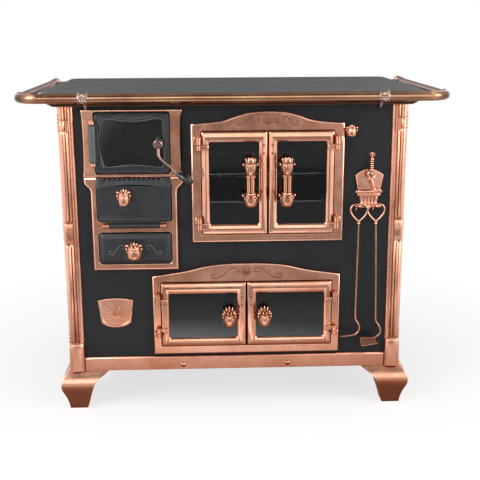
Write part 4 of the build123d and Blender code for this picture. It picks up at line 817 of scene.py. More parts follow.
def knuckle(x, z0, z1, cap=0.0):
    """Barrel of a hinge; cap is the height of the button on its top."""
    r = 7.0
    profile = [(0, z0), (r - 1.2, z0), (r, z0 + 1.2), (r, z1 - 1.2), (r - 1.2, z1)]
    if cap:
        profile += [(3.6, z1 + 0.4), (4.2, z1 + cap * 0.5), (3.0, z1 + cap * 0.9)]
    return lathe(profile + [(0, z1 + cap)], (x, HINGE_V, 0), steps=24)


def surround(name, node, arch, doors, hinges, ornament):
    """Cast door surround with a swept head, engraved ornament and the fixed halves of the hinges."""
    x0, x1, _, _, z0, crest = span(node)
    x, shoulder = doors.x, crest - arch[-1][1]
    right = [(x1 - x, shoulder)] + [(a, shoulder + rise) for a, rise in arch]
    head = through([(x + a, z) for a, z in right + [(-a, z) for a, z in reversed(right[:-1])]], 5)
    hole = opening(x, doors.half, doors.z0, doors.z1, 3.0)
    parts = [plate(head + [(x0, z0), (x1, z0)], FRAME_V, PANEL_V, [hole], 4.2, 1.2)]
    for side in (-1, 1):
        hx = x + side * (doors.half + HINGE_OUT)
        for low, high, _, _ in hinges:
            parts.append(knuckle(hx, low, high, 3.0))
            leaf = (hx - side * 2, hx + side * 12, HINGE_V + 1.5, FRAME_V + 1, low + 0.6, high - 0.6)
            parts.append(block(*leaf, 1.6))
    finish(name, parts + [paint(p, 1) for p in ornament], [copper_cast, copper_patina], replaces=[node])


def oven_surround(wire):
    v = FRAME_V + 0.2
    line = scroll_pair((OVEN_X - 79, OVEN_X - 35), (OVEN_X + 35, OVEN_X + 81), 772, 796, v, wire)
    line += palmette(OVEN_X + 1, 775, v, 19, wire)
    for side in (-1, 1):
        line.append(tube([(OVEN_X + side * a, v, z) for a, z in ((26, 777), (21, 786), (24, 794))], wire))
    surround("oven_surround", "oven_frame", OVEN_ARCH, OVEN_DOORS, OVEN_HINGES, line)


def cupboard_surround(wire):
    v = FRAME_V + 0.2
    line = scroll_pair((CUP_X - 98, CUP_X - 17), (CUP_X + 17, CUP_X + 98), 366, 396, v, wire)
    line += palmette(CUP_X, 374, v, 25, wire, 7, 50)
    surround("cupboard_surround", "cupboard_frame", CUP_ARCH, CUP_DOORS, CUP_HINGES, line)


# section of a door's frame: share of the way from its outer edge to the pane, and depth
DOOR_PROFILE = [(0.0, 17.9), (0.0, 5.8), (0.02, 4.2), (0.06, 3.0), (0.12, 2.2), (0.28, 1.25), (0.42, 0.4),
                (0.5, 0.05), (0.56, 0.1), (0.68, 0.8), (0.84, 1.9), (0.92, 2.9), (0.97, 4.2), (1.0, 5.9)]
DOOR_BACK, REBATE_V, REBATE = 17.9, 5.95, 8.0  # rear face, and the rebate's depth and width for the pane
MEET_GAP = 3.4


def glazed_door(doors, side):
    """Mitred frame of cushion section round the pane's opening, its back rebated for the pane."""

    def ring(t, v, grow=0.0):
        a = doors.x + side * (doors.half - doors.stile * t + grow)
        b = doors.x + side * (MEET_GAP / 2 + doors.meeting_stile * t - grow)
        z0, z1 = doors.z0 + doors.foot_rail * t - grow, doors.z1 - doors.head_rail * t + grow
        return [(x, v, z) for x, z in rounded(min(a, b), max(a, b), z0, z1, 2.5 + 2.5 * t, 3)]

    rebate = [ring(1.0, REBATE_V, REBATE), ring(1.0, DOOR_BACK, REBATE)]
    return loft([ring(t, v) for t, v in DOOR_PROFILE] + rebate, closed=True)


def screw(x, v, z, r=3.1):
    """Countersunk slotted screw, facing forward."""
    head = lathe([(0, 0.4), (r * 0.75, 0.3), (r, 0), (r, -2), (0, -2)], (x, v, z), (0, -1, 0), 18)
    return [head, block(x - r * 0.75, x + r * 0.75, v - 0.55, v + 0.2, z - 0.35, z + 0.35, 0)]


def hinge_strap(hx, z0, z1, side):
    """Moving knuckle with a strap lapped over the stile."""
    reach = hx - side * (HINGE_OUT + 19)
    strap = block(min(hx, reach), max(hx, reach), HINGE_V + 0.8, 2.0, z0 + 0.6, z1 - 0.6, 2.0, 3)
    return [knuckle(hx, z0, z1), strap, ball((reach + side * 5.0, HINGE_V + 1.2, (z0 + z1) / 2), 2.4)]


def door_pair(kind, doors, hinges, screws):
    """Both leaves of a pair, with the screws at their meeting stiles; the panes keep their CAD shape."""
    for side, hand in SIDES:
        parts = [glazed_door(doors, side)]
        for _, _, low, high in hinges:
            parts += hinge_strap(doors.x + side * (doors.half + HINGE_OUT), low, high, side)
        for z in screws:
            x = doors.x + side * (MEET_GAP / 2 + doors.meeting_stile * 0.46)
            parts += [paint(p, 1) for p in screw(x, 0.15, z)]
        door = f"{kind}_door_{hand}"
        finish(f"{kind}_leaf_{hand}", parts, [copper_polished, copper_patina], door, replaces=[door])
        coat(clear_pane, f"{kind}_glass_{hand}")


def stud(x, z, v):
    """Stud from a handle through the pane, with a collar before it and a nut behind it."""
    profile = [(0, v), (4.5, v), (4.5, 0.5), (7, 0.8), (9, 2.5), (9, 5.8), (4.5, 5.9), (4.5, 10.1),
               (9, 10.2), (9, 13.4), (7.6, 14), (0, 14)]
    return lathe(profile, (x, 0, z), BACK, 20)


HANDLE_V, HANDLE_Z = -30.0, 567.0
HANDLE_RODS = (39, 77)  # from and to, over the handle's foot
# radius and height over the foot: hanging flower, collar, neck, collar, tulip and crown
HANDLE_BODY = [(0, 0), (7, 0.6), (12, 3.4), (15, 8), (16.4, 15), (15.6, 22), (13, 28), (11, 31.5), (13.6, 33),
               (14.2, 35.2), (13.4, 37.6), (10.6, 39.5), (5, 41), (5, 75), (10.6, 76.5), (13.4, 78.4),
               (13.4, 81), (10, 83.5), (8.4, 86), (9.6, 92), (12.4, 101), (15, 108), (16, 110.4), (15, 112.6),
               (11.5, 113.5), (11, 118), (8, 122.5), (4, 125), (0, 125.6)]


def oven_handle(side, hand):
    """Upright cast handle: hanging flower, four rods between collars, tulip and a closed crown of petals."""
    x, v, z = OVEN_X + side * HANDLE_OFF, HANDLE_V, HANDLE_Z
    parts = [lathe([(r, z + h) for r, h in HANDLE_BODY], (x, v, 0))]
    low, high = (z + h for h in HANDLE_RODS)
    for k in range(4):
        angle = radians(45 + 90 * k)
        at = (x + 7.2 * cos(angle), v + 7.2 * sin(angle), 0)
        parts.append(lathe([(0, low), (4.9, low), (4.9, high), (0, high)], at, steps=18))
    for k in range(6):
        leaf = petal((0, 0, 0), (16.0, 6.5, 32.0), -9, 60 * k + 30, 17.0, 0.3)
        move(leaf, Matrix.Translation((x, v, z + 34.5)) @ Matrix.Diagonal((1, 1, -1, 1)))
        bmesh.ops.reverse_faces(leaf, faces=leaf.faces)
        parts.append(leaf)
        angle = radians(60 * k + 30)
        for radius, height, size in ((19.0, 31.0, 3.6), (17.5, 111.0, 3.2)):
            at = (x + radius * sin(angle), v - radius * cos(angle), z + height)
            parts.append(ball(at, size, (1, 1, 1.15)))
    parts += whorl((x, v, z + 83), 6, (12.5, 4.0, 31), 13, 8.6, 0, 0.25)
    parts += whorl((x, v, z + 109), 8, (9.5, 4.6, 19), 6, 11.4, 22.5, 0.25)
    parts += whorl((x, v, z + 112), 5, (7.0, 4.4, 17), 4, 5.6, 0, 0.3)
    parts += [stud(x, z + height, v) for height in (17.0, 95.0)]
    finish("oven_crown_handle_" + hand, parts, [copper_polished], "oven_door_" + hand,
           ["oven_handle_" + hand])


def cupboard_knob(side, hand):
    x, v, z = CUP_X + side * HANDLE_OFF, -18.0, 255.0
    finish("cupboard_crown_knob_" + hand, crown_knob(x, v, z, 26, 28, 58, 1.0) + [stud(x, z, v)],
           [copper_polished], "cupboard_door_" + hand, ["cupboard_knob_" + hand])


# ---- fire front
def fire_surround_upper():
    half, height = FIRE_X1 - FIRE_X, FIRE_TOP - FIRE_JOINT
    waist = half - 4.0
    side = [(waist + a, FIRE_JOINT + height * t) for t, a in ((0.12, 1.5), (0.5, 0), (0.88, 1.5))]
    side = through([(half, FIRE_JOINT), *side, (half, FIRE_TOP)], 4)
    hole = opening(FIRE_X, FIRE_HALF, FIRE_DOOR_Z0, FIRE_DOOR_Z1, 5.0)
    parts = [plate(mirrored(FIRE_X, side), FRAME_V, PANEL_V, [hole], 5.0, 1.6)]
    for z0, z1 in ((673.6, 682.6), (779.4, 788.4)):
        barrel = [(0, z0), (6, z0), (7.2, z0 + 1.2), (7.2, z1 - 1.2), (6, z1), (3.4, z1 + 0.4),
                  (3.4, z1 + 2.6), (0, z1 + 3.6)]
        parts.append(lathe(barrel, (FIRE_PIN_X, HINGE_V, 0), steps=24))
        parts.append(block(FIRE_PIN_X - 8, FIRE_PIN_X + 2, HINGE_V + 1, FRAME_V + 2, z0 + 0.4, z1 - 0.4, 1.4))
    finish("fire_surround_upper", parts, [copper_cast], replaces=["fire_frame_upper"])


def fire_surround_lower():
    """Lower casting, narrower at its foot, with the two lugs that carry the flap."""
    half = FIRE_X1 - FIRE_X
    low = half - 16.5
    side = [(low, FIRE_FOOT), *through([(low, 602), (low + 3, 612), (half - 2, 624), (half, 636)], 4),
            (half, FIRE_JOINT - 0.4)]
    holes = [opening(FIRE_X, FIRE_HALF, FLAP_Z0, FLAP_Z1, (2.0, 2.0, 9.0, 9.0)),
             opening(FIRE_X, 94.0, 412.0, 494.0, 9.0)]
    parts = [plate(mirrored(FIRE_X, side), FRAME_V, PANEL_V, holes, 5.0, 1.6)]
    barrel = [(0, 0), (5.6, 0), (6.8, 1.4), (6.8, 5), (5.6, 6.4), (6.8, 7.8), (6.8, 13.4), (5.6, 14.8),
              (0, 14.8)]
    for x0, x1 in ((-81.4, -66.6), (66.6, 81.4)):
        parts.append(paint(lathe(barrel, (FIRE_X + x0, FLAP_PIN_V, FLAP_PIN_Z), RIGHT, 24), 1))
        parts.append(paint(block(FIRE_X + x0, FIRE_X + x1, -1.5, FRAME_V + 1, 509.4, 521.0, 2.0), 1))
    finish("fire_surround_lower", parts, [copper_cast, copper_polished], replaces=["fire_frame_lower"])


def visor():
    """Black hood over the flap: toothed along its top, curved below, leaning forward."""
    top, half = FIRE_JOINT - 1.6, 96.0
    pitch, tooth, deep, lean = 12.45, 6.8, 6.0, 0.42
    outline = [(FIRE_X + half * (k / 8 - 1), 615.5 + 8.5 * sin(pi * k / 16)) for k in range(17)]
    outline.append((FIRE_X + half, top))
    for k in reversed(range(12)):
        x = FIRE_X - 3.5 + (k - 5.5) * pitch
        x0, x1 = x - tooth / 2, x + tooth / 2
        outline += [(x1, top), (x1, top - deep), (x0, top - deep), (x0, top)]
    outline.append((FIRE_X - half, top))
    hood = plate(outline, FRAME_V - 1.0, FRAME_V + 3.0, edge=0.7, segments=2)
    shear = Matrix.Identity(4)
    shear[1][2], shear[1][3] = lean, -lean * top
    move(hood, shear)
    lining = block(FIRE_X - half + 0.5, FIRE_X + half - 0.5, FRAME_V - 0.3, FRAME_V + 2, top - deep - 2.5,
                   top - 0.2, 0)
    finish("flap_visor", [hood, paint(lining, 1)], [black_cast, dark_lining],
           replaces=["fire_frame_lower"])


def four_sided(corners, bows, steps=12):
    """Closed line through four corners (TR, TL, BL, BR), softened, each side bowed outwards by its amount."""
    line = []
    for (x0, z0), (x1, z1), bow in zip(corners, corners[1:] + corners[:1], bows):
        run = Vector((x1 - x0, z1 - z0))
        out = Vector((run.y, -run.x)).normalized()
        for k in range(steps):
            t = k / steps
            line.append(Vector((x0, z0)) + run * t + out * (bow * sin(pi * t) ** 1.5))
    line = [line[k - 1] * 0.2 + line[k] * 0.6 + line[(k + 1) % len(line)] * 0.2 for k in range(len(line))]
    return [(p.x, p.y) for p in line]


LATCH_X, LATCH_V, LATCH_Z = FIRE_X + 67.0, -22.0, (FIRE_DOOR_Z0 + FIRE_DOOR_Z1) / 2
# section of the fire door: share of the way from its outer edge to the pane, and depth
FIRE_PROFILE = [(0, 17.9), (0, 3.2), (0.05, 1.6), (0.14, 0.6), (0.3, 0.9), (0.62, 1.2), (0.72, 0.3),
                (0.84, 0.2), (0.93, 1.6), (1.0, 5.9)]


def fire_door():
    """Cast door with a wavy rim round its pane, the latch's boss and the long barrel of its hinge."""
    x0, x1, z0, z1 = FIRE_X - FIRE_HALF, FIRE_X + FIRE_HALF, FIRE_DOOR_Z0, FIRE_DOOR_Z1
    outer = four_sided([(x1, z1), (x0, z1), (x0, z0), (x1, z0)], [0, 0, 0, 0])
    hole = [(FIRE_X + a, z) for a, z in ((79, 795), (-73, 795), (-73, 668), (81, 667))]
    inner = four_sided(hole, [-8.5, 12.0, -7.5, 1.5])

    def ring(t, v, grow=0.0):
        line = [(a + (c - a) * t, b + (d - b) * t) for (a, b), (c, d) in zip(outer, inner)]
        return [(FIRE_X + (x - FIRE_X) * (1 + grow / 80), v, LATCH_Z + (z - LATCH_Z) * (1 + grow / 66))
                for x, z in line]

    rebate = [ring(1.0, REBATE_V, 4.0), ring(1.0, DOOR_BACK, 4.0)]
    parts = [loft([ring(t, v) for t, v in FIRE_PROFILE] + rebate, closed=True)]
    # light bead round the pane: a painted highlight along its inner edge
    parts.append(paint(tube([(x, 3.1, z) for x, z in inner], 1.0, closed=True, steps=2), 2))
    parts.append(block(LATCH_X - 2, x1 - 6, 0.4, 5.6, LATCH_Z - 11, LATCH_Z + 11, 2.0, 3))
    boss = [(5.1, 5.8), (13, 5.8), (13, 1.6), (11.5, 0.2), (8.4, -0.4), (7.6, 0.6), (5.1, 0.6)]
    parts.append(lathe(boss, (LATCH_X, 0, LATCH_Z), BACK, closed=True))
    low, high = 683.0, 779.0
    barrel = [(4.06, low), (8.6, low), (10, low + 1.4), (10, low + 3), (9.2, low + 4), (9.2, high - 4),
              (10, high - 3), (10, high - 1.4), (8.6, high), (4.06, high)]
    parts.append(paint(lathe(barrel, (FIRE_PIN_X, HINGE_V, 0), closed=True), 1))
    parts.append(block(FIRE_PIN_X + 3, FIRE_PIN_X + 15, HINGE_V + 1.6, 3.0, low + 1, high - 1, 1.6))
    finish("fire_door_casting", parts, [black_cast, burnished_iron, grey_engraving_and_rim_highlight], "fire_door",
           ["fire_door"])
    coat(clear_pane, "fire_door_glass")


def fire_latch():
    """Latch: ring on a spindle with its cam, swept arm and a black grip."""
    x, v, z = LATCH_X, LATCH_V, LATCH_Z
    spindle = [(0, v - 2.0), (3.4, v - 2.0), (4.6, v - 0.6), (5.4, v + 2), (5, v + 6), (7, v + 8), (7, -2.6),
               (6, -0.6), (5, 0), (5, 22), (0, 22)]
    parts = [torus(8.4, 3.7, (x, v, z)), torus(4.2, 1.2, (x, v - 3.2, z)),
             paint(lathe(spindle, (x, 0, z), BACK, 24), 1)]
    arm = [(0.5, 0, -10), (1, -1, -18), (1, -2.5, -27), (5, -4, -34), (12, -7, -41), (37, -14, -59),
           (43, -16, -69), (47, -16.6, -71.4)]
    parts.append(tube([(x + a, v + b, z + c) for a, b, c in arm], 2.6,
                      [1.9, 1.8, 1.6, 1.3, 1.0, 0.95, 0.95, 0.95], sides=4))
    parts.append(block(x - 5, x + 5, 19, 22, z - 6, z + 14, 1.2))
    finish("fire_latch_lever", parts, [copper_dull, copper_polished], "fire_latch", ["fire_latch"])
    start, end = Vector((x + 43, v - 16, z - 69)), Vector((x + 84, v - 22, z - 93))
    length = (end - start).length
    grip = through([(4.4, 4.0), (5.6, 8.0), (7.6, length * 0.34), (10.3, length * 0.55),
                    (11.6, length * 0.72), (10.6, length * 0.87), (7.2, length * 0.97), (2.6, length + 3.2),
                    (0, length + 3.8)], 4)
    finish("fire_latch_handle", [lathe([(0, 4.0), *grip], start, end - start)], [grip_gloss], "fire_latch",
           ["fire_latch_grip"])


# ---- flap and drawer
def air_flap():
    x0, x1 = FIRE_X - FIRE_HALF, FIRE_X + FIRE_HALF
    face = plate(rounded(x0, x1, FLAP_Z0, FLAP_Z1, (2.0, 2.0, 8.0, 8.0)), 2.0, 10.0, edge=1.6)
    ledge = block(x0 + 3, x1 - 3, -3.2, 3.0, FLAP_Z0 + 0.5, FLAP_Z0 + 11.5, 2.6, 3)
    lip = block(x0 + 5, x1 - 5, 0.6, 3.0, FLAP_Z0 + 11, FLAP_Z0 + 15.5, 1.0)
    barrel = [(3.06, -66), (5.4, -66), (6.5, -64.8), (6.5, 64.8), (5.4, 66), (3.06, 66)]
    roller = lathe(barrel, (FIRE_X, FLAP_PIN_V, FLAP_PIN_Z), RIGHT, 28, closed=True)
    web = block(FIRE_X - 66, FIRE_X + 66, -1.0, 4.6, FLAP_PIN_Z + 1, FLAP_Z0 + 2, 1.0)
    finish("air_flap_casting", [face, ledge, lip, roller, web], [black_cast], "air_flap",
           ["air_flap"])
    finish("air_flap_crown_knob", crown_knob(FIRE_X - 24, -17.0, 587, 25, 28, 47, 2.0), [copper_polished],
           "air_flap", ["air_flap_knob"])


def ash_drawer(wire):
    """Drawer front with a chamfered rim and two grey scrolls beside its knob."""
    x0, x1, _, v1, z0, z1 = span("drawer_front")
    rim = [(0, v1), (0, 6.4), (0.5, 5.4), (1.4, 4.8), (11.4, 0.7), (12.4, 0.3), (13.4, 0.2)]
    parts = [loft([[(x, v, z) for x, z in rounded(x0 + a, x1 - a, z0 + a, z1 - a, max(8.0 - a * 0.5, 1.5))]
                   for a, v in rim])]
    scrolls = scroll_pair((FIRE_X - 71, FIRE_X - 28), (FIRE_X + 28, FIRE_X + 71), 438, 464, 0.3, wire)
    finish("drawer_front_casting", parts + [paint(p, 1) for p in scrolls], [black_cast, grey_engraving_and_rim_highlight],
           "ash_drawer", ["drawer_front"])
    finish("drawer_crown_knob", crown_knob(FIRE_X - 2, -23.0, 446, 30, 30, 49, 0.2), [copper_polished],
           "ash_drawer", ["drawer_knob"])
    coat(raw_steel, "drawer_tray")


# ---- damper, plates and tools
def damper():
    x0, x1, v0, v1, z0, z1 = span("damper_knob")
    finish("damper_crown_knob", crown_knob((x0 + x1) / 2, v0 + 11, (z0 + z1) / 2 - 2, 21, 18, 32, v1),
           [copper_polished], "damper", ["damper_knob"])
    coat(raw_steel, "damper_rod")


def badge():
    """Shield-shaped badge with a raised rim, a leaf fan and a bow under it."""
    x0, x1, v0, v1, z0, z1 = span("name_plate")
    x, z = (x0 + x1) / 2, (z0 + z1) / 2
    head = through([(47.5, 35.5), (26, 40.1), (0, 41.5), (-26, 40.1), (-47.5, 35.5)], 4)
    foot = through([(-40, -27.5), (-30, -35.3), (-16, -40.1), (0, -41.5), (16, -40.1), (30, -35.3),
                    (40, -27.5)], 3)

    def ring(inset, v):
        return [(x + a * (1 - inset / 43), v, z + b * (1 - inset / 41)) for a, b in head + foot]

    rim = [(0, 1.8), (0.6, 0.6), (1.8, 0.1), (5.0, 0.1), (6.4, 0.7), (7.2, 1.7), (8.4, 1.9)]
    parts = [loft([ring(0, v1)] + [ring(inset, v0 + depth) for inset, depth in rim])]
    parts += palmette(x, z - 17, v0 + 1.6, 41, 2.3, 9, 68)
    parts.append(tube([(x + a, v0 + 1.8, z + b) for a, b in ((-27, -22), (0, -27), (27, -22))], 1.3))
    finish("badge_shield", parts, [copper_cast], replaces=["name_plate"])


# pegs of the plaque, from its middle and its foot
PEGS = {"poker": (-28, 6), "shovel": (17, 6), "lid_lifter": (2, 92)}


def tool_plaque():
    """Cast shield with a crest, a fluted drum, a skirt and three leaning pegs."""
    x, v0, v1, z0 = PLAQUE_X, PLAQUE_BACK - 6.0, PLAQUE_BACK, PLAQUE_Z0

    def at(points):
        return [(x + a, z0 + b) for a, b in points]

    crest = through([(36, 98), (23, 106.6), (8, 112.6), (-8, 112.6), (-23, 106.6), (-36, 98)], 4)
    parts = [plate(at(crest + [(-29, 60), (29, 60)]), v0, v1, edge=2.2),
             tube([(a, v0 + 0.4, b) for a, b in at(crest)], 1.7)]
    for side in (-1, 1):
        ends = at([(side * 36, 98), (side * 29, 62)])
        parts.append(tube([(a, v0 + 0.4, b) for a, b in ends], 1.5, steps=2))
    roll = [(4.6, 35), (5.8, 33.6), (5.8, 30), (4.4, 28.6), (5.4, 27)]
    roll = [(0, -35), *((r, -a) for r, a in roll), *reversed(roll), (0, 35)]
    parts.append(lathe(roll, (x, v0 + 3.0, z0 + 54), RIGHT, 20))
    parts.append(block(x - 30, x + 30, v0 - 1.0, v1, z0 + 42.5, z0 + 49.5, 1.6))
    parts.append(block(x - 23, x + 23, v0 + 1.0, v1, z0 + 20, z0 + 46, 1.2))
    flute = [(0, 21), (3.2, 21), (3.9, 23), (3.4, 25), (3.4, 40), (3.9, 42), (0, 42)]
    for k in range(5):
        parts.append(paint(lathe(flute, (x - 18 + 9 * k, v0 + 1.8, z0), steps=16), 1))
    skirt = through([(22, 25), (25, 20), (32, 16.5), (34, 13)], 3)
    skirt += [(24, 10.5), (8, 12), (0, 6), (-8, 12), (-24, 10.5)] + [(-a, b) for a, b in reversed(skirt)]
    parts.append(plate(at(skirt), v0, v1, edge=1.6))
    lean, length = radians(30.0), 36.0
    boss = [(0, v1), (5.4, v1), (5.4, v0 + 2.4), (4, v0 + 1), (0, v0 + 1)]
    peg = [(0, 0), (3.5, 0), (3.5, 1.6), (3.5, 3.2), (3.5, length - 3.4), (3.4, length - 2),
           (2.4, length - 0.8), (0, length)]
    for px, pz in PEGS.values():
        parts.append(lathe(boss, (x + px, 0, z0 + pz), BACK, 18))
        parts.append(lathe(peg, (x + px, v0 + 1.5, z0 + pz - 1.4), (0, -cos(lean), sin(lean)), 18))
    finish("tool_holder", parts, [copper_cast, copper_polished], replaces=["tool_plaque"])


TOOL_V = -6.0


def hung_rod(node, bend, path, tip=1.0):
    """Rod, heart-shaped loop and turned neck of a hung tool.

    The rod goes by a bend, given from the neck, and then the path's points: across from the peg, and height.
    """
    x = PLAQUE_X + PEGS[node][0]
    top = span(node)[5] - 2.3
    z = top - 46
    heart = [(0, -46), (-11, -36), (-20, -24), (-22, -11), (-15, -1.5), (-4, 0)]
    heart = through(heart + [(-a, b) for a, b in reversed(heart)], 3)[:-1]
    loop = tube([(x + a, TOOL_V, top + b) for a, b in heart], 2.1, closed=True, sides=4, steps=2)
    path = [(0, z + 2), (bend[0], z + bend[1]), *path]
    rod = tube([(x + a, TOOL_V, b) for a, b in path], 2.5, [0.8] + [1] * (len(path) - 2) + [tip], sides=4)
    neck = [(0, z + 3), (3, z + 2.6), (4.6, z), (3.6, z - 3), (4.2, z - 5), (0, z - 8)]
    return [rod, paint(loop, 1), paint(lathe(neck, (x, TOOL_V, 0), steps=18), 1)]


def poker():
    parts = hung_rod("poker", (0, -40), [(-2, 300), (-2, 256), (0, 247), (8, 236), (11, 221), (4, 209),
                                         (-10, 204), (-26, 202.6), (-41, 202)], 0.7)
    finish("poker_iron", parts, [tool_copper, copper_polished], "poker", ["poker"])


def shovel():
    """Shovel with a small tapered blade, a lip along two of its edges."""
    parts = hung_rod("shovel", (2, -60), [(7, 300), (8, 252), (9, 243), (17, 233), (23, 220), (22, 207),
                                          (13, 199), (2, 195)])
    x = PLAQUE_X + PEGS["shovel"][0]
    blade = [(x + 6, 198), (x - 32, 198), (x - 27, 174), (x + 16, 180)]
    parts.append(paint(plate(blade, TOOL_V - 1.2, TOOL_V + 1.3, edge=0.8), 2))
    for ends in (blade[1:3], blade[2:4]):
        parts.append(tube([(a, TOOL_V - 1.5, b) for a, b in ends], 1.4, steps=2))
    finish("shovel_iron", parts, [tool_copper, copper_polished, copper_patina], "shovel",
           ["shovel"])


def lid_lifter():
    """Lifting key: crown, beaded grip, eye over the peg and a curled nose with a ball."""
    crest = span("lid_lifter")[5]
    x, v, eye = PLAQUE_X + PEGS["lid_lifter"][0], TOOL_V, crest - 60.1
    parts = [torus(9.0, 2.9, (x, v, eye)), torus(10.6, 1.1, (x, v - 1.6, eye))]
    grip = [(0, eye + 9)]
    for k in range(6):
        z = eye + 13.5 + 5.6 * k
        grip += [(2.6, z - 2.8), (5.0, z - 1.2), (5.4, z), (5.0, z + 1.2)]
    top = eye + 46
    grip += [(2.6, top), (3.4, top + 2), (8.4, top + 5), (9.2, top + 7), (4, top + 8), (0, top + 8.4)]
    parts.append(lathe(grip, (x, v, 0), steps=20))
    parts += whorl((x, v, top + 4.4), 5, (5.4, 3.0, crest - top - 4.8), 26, 4.0)
    parts.append(petal((x, v, top + 4), (4.4, 3.0, crest - top - 4.0)))
    nose = [(0, 0, -9), (1, -1, -16), (5, -1, -26), (8, 0, -37), (14, 0, -44), (21, 0, -41)]
    parts.append(tube([(x + a, v + b, eye + c) for a, b, c in nose], 3.0, [1.3, 1.2, 1.1, 1.0, 1.0, 0.9],
                      sides=4))
    for at, radius in (((22, 0, -40), 4.6), ((-8, -3, -10), 3.0), ((8, -3, -10), 3.0)):
        parts.append(ball(Vector((x, v, eye)) + Vector(at), radius))
    finish("lifter_key", parts, [copper_polished], "lid_lifter", ["lid_lifter"])


# ---- the parts that keep their CAD shape
def linings():
    coat(black_panel, "front_panel", "side_panel_left", "side_panel_right", "back_panel", "floor_pan")
    coat(dark_lining, "oven_box", "cupboard_box", "ash_chamber", "firebox")
    coat(bright_steel, "oven_rack_lower", "oven_rack_upper")
    coat(raw_steel, "fire_grate")
    coat(fire_brick, "firebricks")
    finish("flue_spigot", [dressed("flue_collar", 0.8, 40)], [black_panel],
           replaces=["flue_collar"])


# ---- stage
def studio_floor():
    """Pale floor: keeps the object's shadow near it and turns pure white further out.

    Gloss sees a painted glow instead: painted shade, dim under and near the object and tinted warm there as a
    painted copper bounce; painted light, bright at both sides; and a painted light patch further off that the
    lower panes show at their foot.
    """
    bm = bmesh.new()
    bmesh.ops.create_grid(bm, x_segments=1, y_segments=1, size=8.0)
    mesh = bpy.data.meshes.new("floor")
    bm.to_mesh(mesh)
    bm.free()
    floor = bpy.data.objects.new("floor", mesh)
    bpy.context.scene.collection.objects.link(floor)
    s = Surface("studio_floor")
    s.tree.nodes.remove(s.shader)
    grain = s.mix(s.level(s.noise(1.5, 2.0), 0.3, 0.7), grey(0.90), grey(0.93))
    lit = s.node("ShaderNodeBsdfDiffuse", Color=grain).outputs[0]
    white = s.node("ShaderNodeEmission", Color=grey(1.0), Strength=1.0).outputs[0]
    reach = s.node("ShaderNodeVectorMath", {"operation": "LENGTH"}, Vector=s.place).outputs["Value"]
    across, depth, _ = s.node("ShaderNodeSeparateXYZ", Vector=s.place).outputs
    x, y = s.size(across), s.size(depth)
    beside = s.largest(s.calc("SUBTRACT", x, PLATE_X1 * MM), s.calc("SUBTRACT", y, -FRONT))
    # gloss sees painted shade near the object, painted light beside it and in a patch further off
    near = s.level(beside, 0.02, 0.4, 0.22, 0.95)
    middle = s.level(beside, 0.55, 1.0, 1.0, 0.45)
    band = s.largest(s.level(reach, 4.2, 4.5, 0.24, 0.55), s.level(reach, 2.8, 3.1, 1.0, 0.24))
    flank = s.level(x, 0.8, 1.2, 0.0, 1.3)
    patch = s.times(s.level(across, -0.25, 0.35, 3.2, 1.6), s.level(x, 0.42, 0.36))
    patch = s.times(patch, s.times(s.level(beside, 0.46, 0.5), s.level(beside, 0.8, 0.5)))
    warmth = s.mix(s.level(beside, 0.1, 0.4), rgb((1.0, 0.6, 0.45)), grey(1.0))
    strength = s.largest(s.smallest(near, middle, band), flank, patch)
    shine = s.node("ShaderNodeEmission", Color=warmth, Strength=strength).outputs[0]
    path = s.node("ShaderNodeLightPath").outputs
    seen = s.times(path["Is Camera Ray"], s.level(reach, 0.5, 1.3, 0.72, 1.0))
    look = s.blend(path["Is Glossy Ray"], s.blend(seen, lit, white), shine)
    s.plug(s.tree.nodes["Material Output"].inputs["Surface"], look)
    mesh.materials.append(s.material)


def studio_world(ambient):
    """White to the camera and a soft light on dull surfaces.

    Gloss and glass see a room instead: bright side walls, a wide window in front, a lit ceiling, a dim rear
    wall and a faint glow all round.
    """
    world = bpy.data.worlds.new("studio")
    bpy.context.scene.world = world
    world.use_nodes = True
    g = Graph(world.node_tree)
    way = g.node("ShaderNodeTexCoord").outputs["Generated"]
    x, y, z = g.node("ShaderNodeSeparateXYZ", Vector=way).outputs
    wall = g.level(g.size(x), 0.20, 0.32, 0.0, 1.7)
    window = g.times(g.times(g.level(z, 0.02, 0.06, 0.0, 2.0), g.level(z, 0.62, 0.34)), g.level(y, 0.0, -0.3))
    ceiling = g.level(z, 0.8, 0.9, 0.0, 0.45)
    rear = g.level(y, 0.1, 0.4, 0.0, 0.3)
    glow = g.largest(wall, window, ceiling, rear, 0.12)
    path = g.node("ShaderNodeLightPath").outputs
    seen = g.largest(path["Is Glossy Ray"], path["Is Transmission Ray"])
    soft, shine, white = (g.node("ShaderNodeBackground", Color=grey(1.0), Strength=strength).outputs[0]
                          for strength in (ambient, glow, 1.0))
    look = g.blend(path["Is Camera Ray"], g.blend(seen, soft, shine), white)
    g.plug(g.tree.nodes["World Output"].inputs["Surface"], look)


def softbox(name, at, aim, size, watts, in_gloss=True):
    lamp = bpy.data.lights.new(name, "AREA")
    lamp.shape = "RECTANGLE"
    lamp.size, lamp.size_y = size
    lamp.energy = watts
    holder = bpy.data.objects.new(name, lamp)
    turn = (Vector(aim) - Vector(at)).to_track_quat("-Z", "Y").to_matrix().to_4x4()
    holder.matrix_world = Matrix.Translation(at) @ turn
    holder.visible_glossy = in_gloss
    bpy.context.scene.collection.objects.link(holder)


def camera():
    """Camera at the photograph's place: tilted down, a little to the right."""
    place, lens = (-0.07028, -2.46976, 1.03133), 64.71
    tilt, pan, roll = radians(75.7645), radians(-2.1815), -0.0046
    data = bpy.data.cameras.new("camera")
    data.lens = lens
    holder = bpy.data.objects.new("camera", data)
    turn = Matrix.Rotation(pan, 4, "Z") @ Matrix.Rotation(tilt, 4, "X") @ Matrix.Rotation(roll, 4, "Z")
    holder.matrix_world = Matrix.Translation(place) @ turn
    bpy.context.scene.collection.objects.link(holder)
    bpy.context.scene.camera = holder


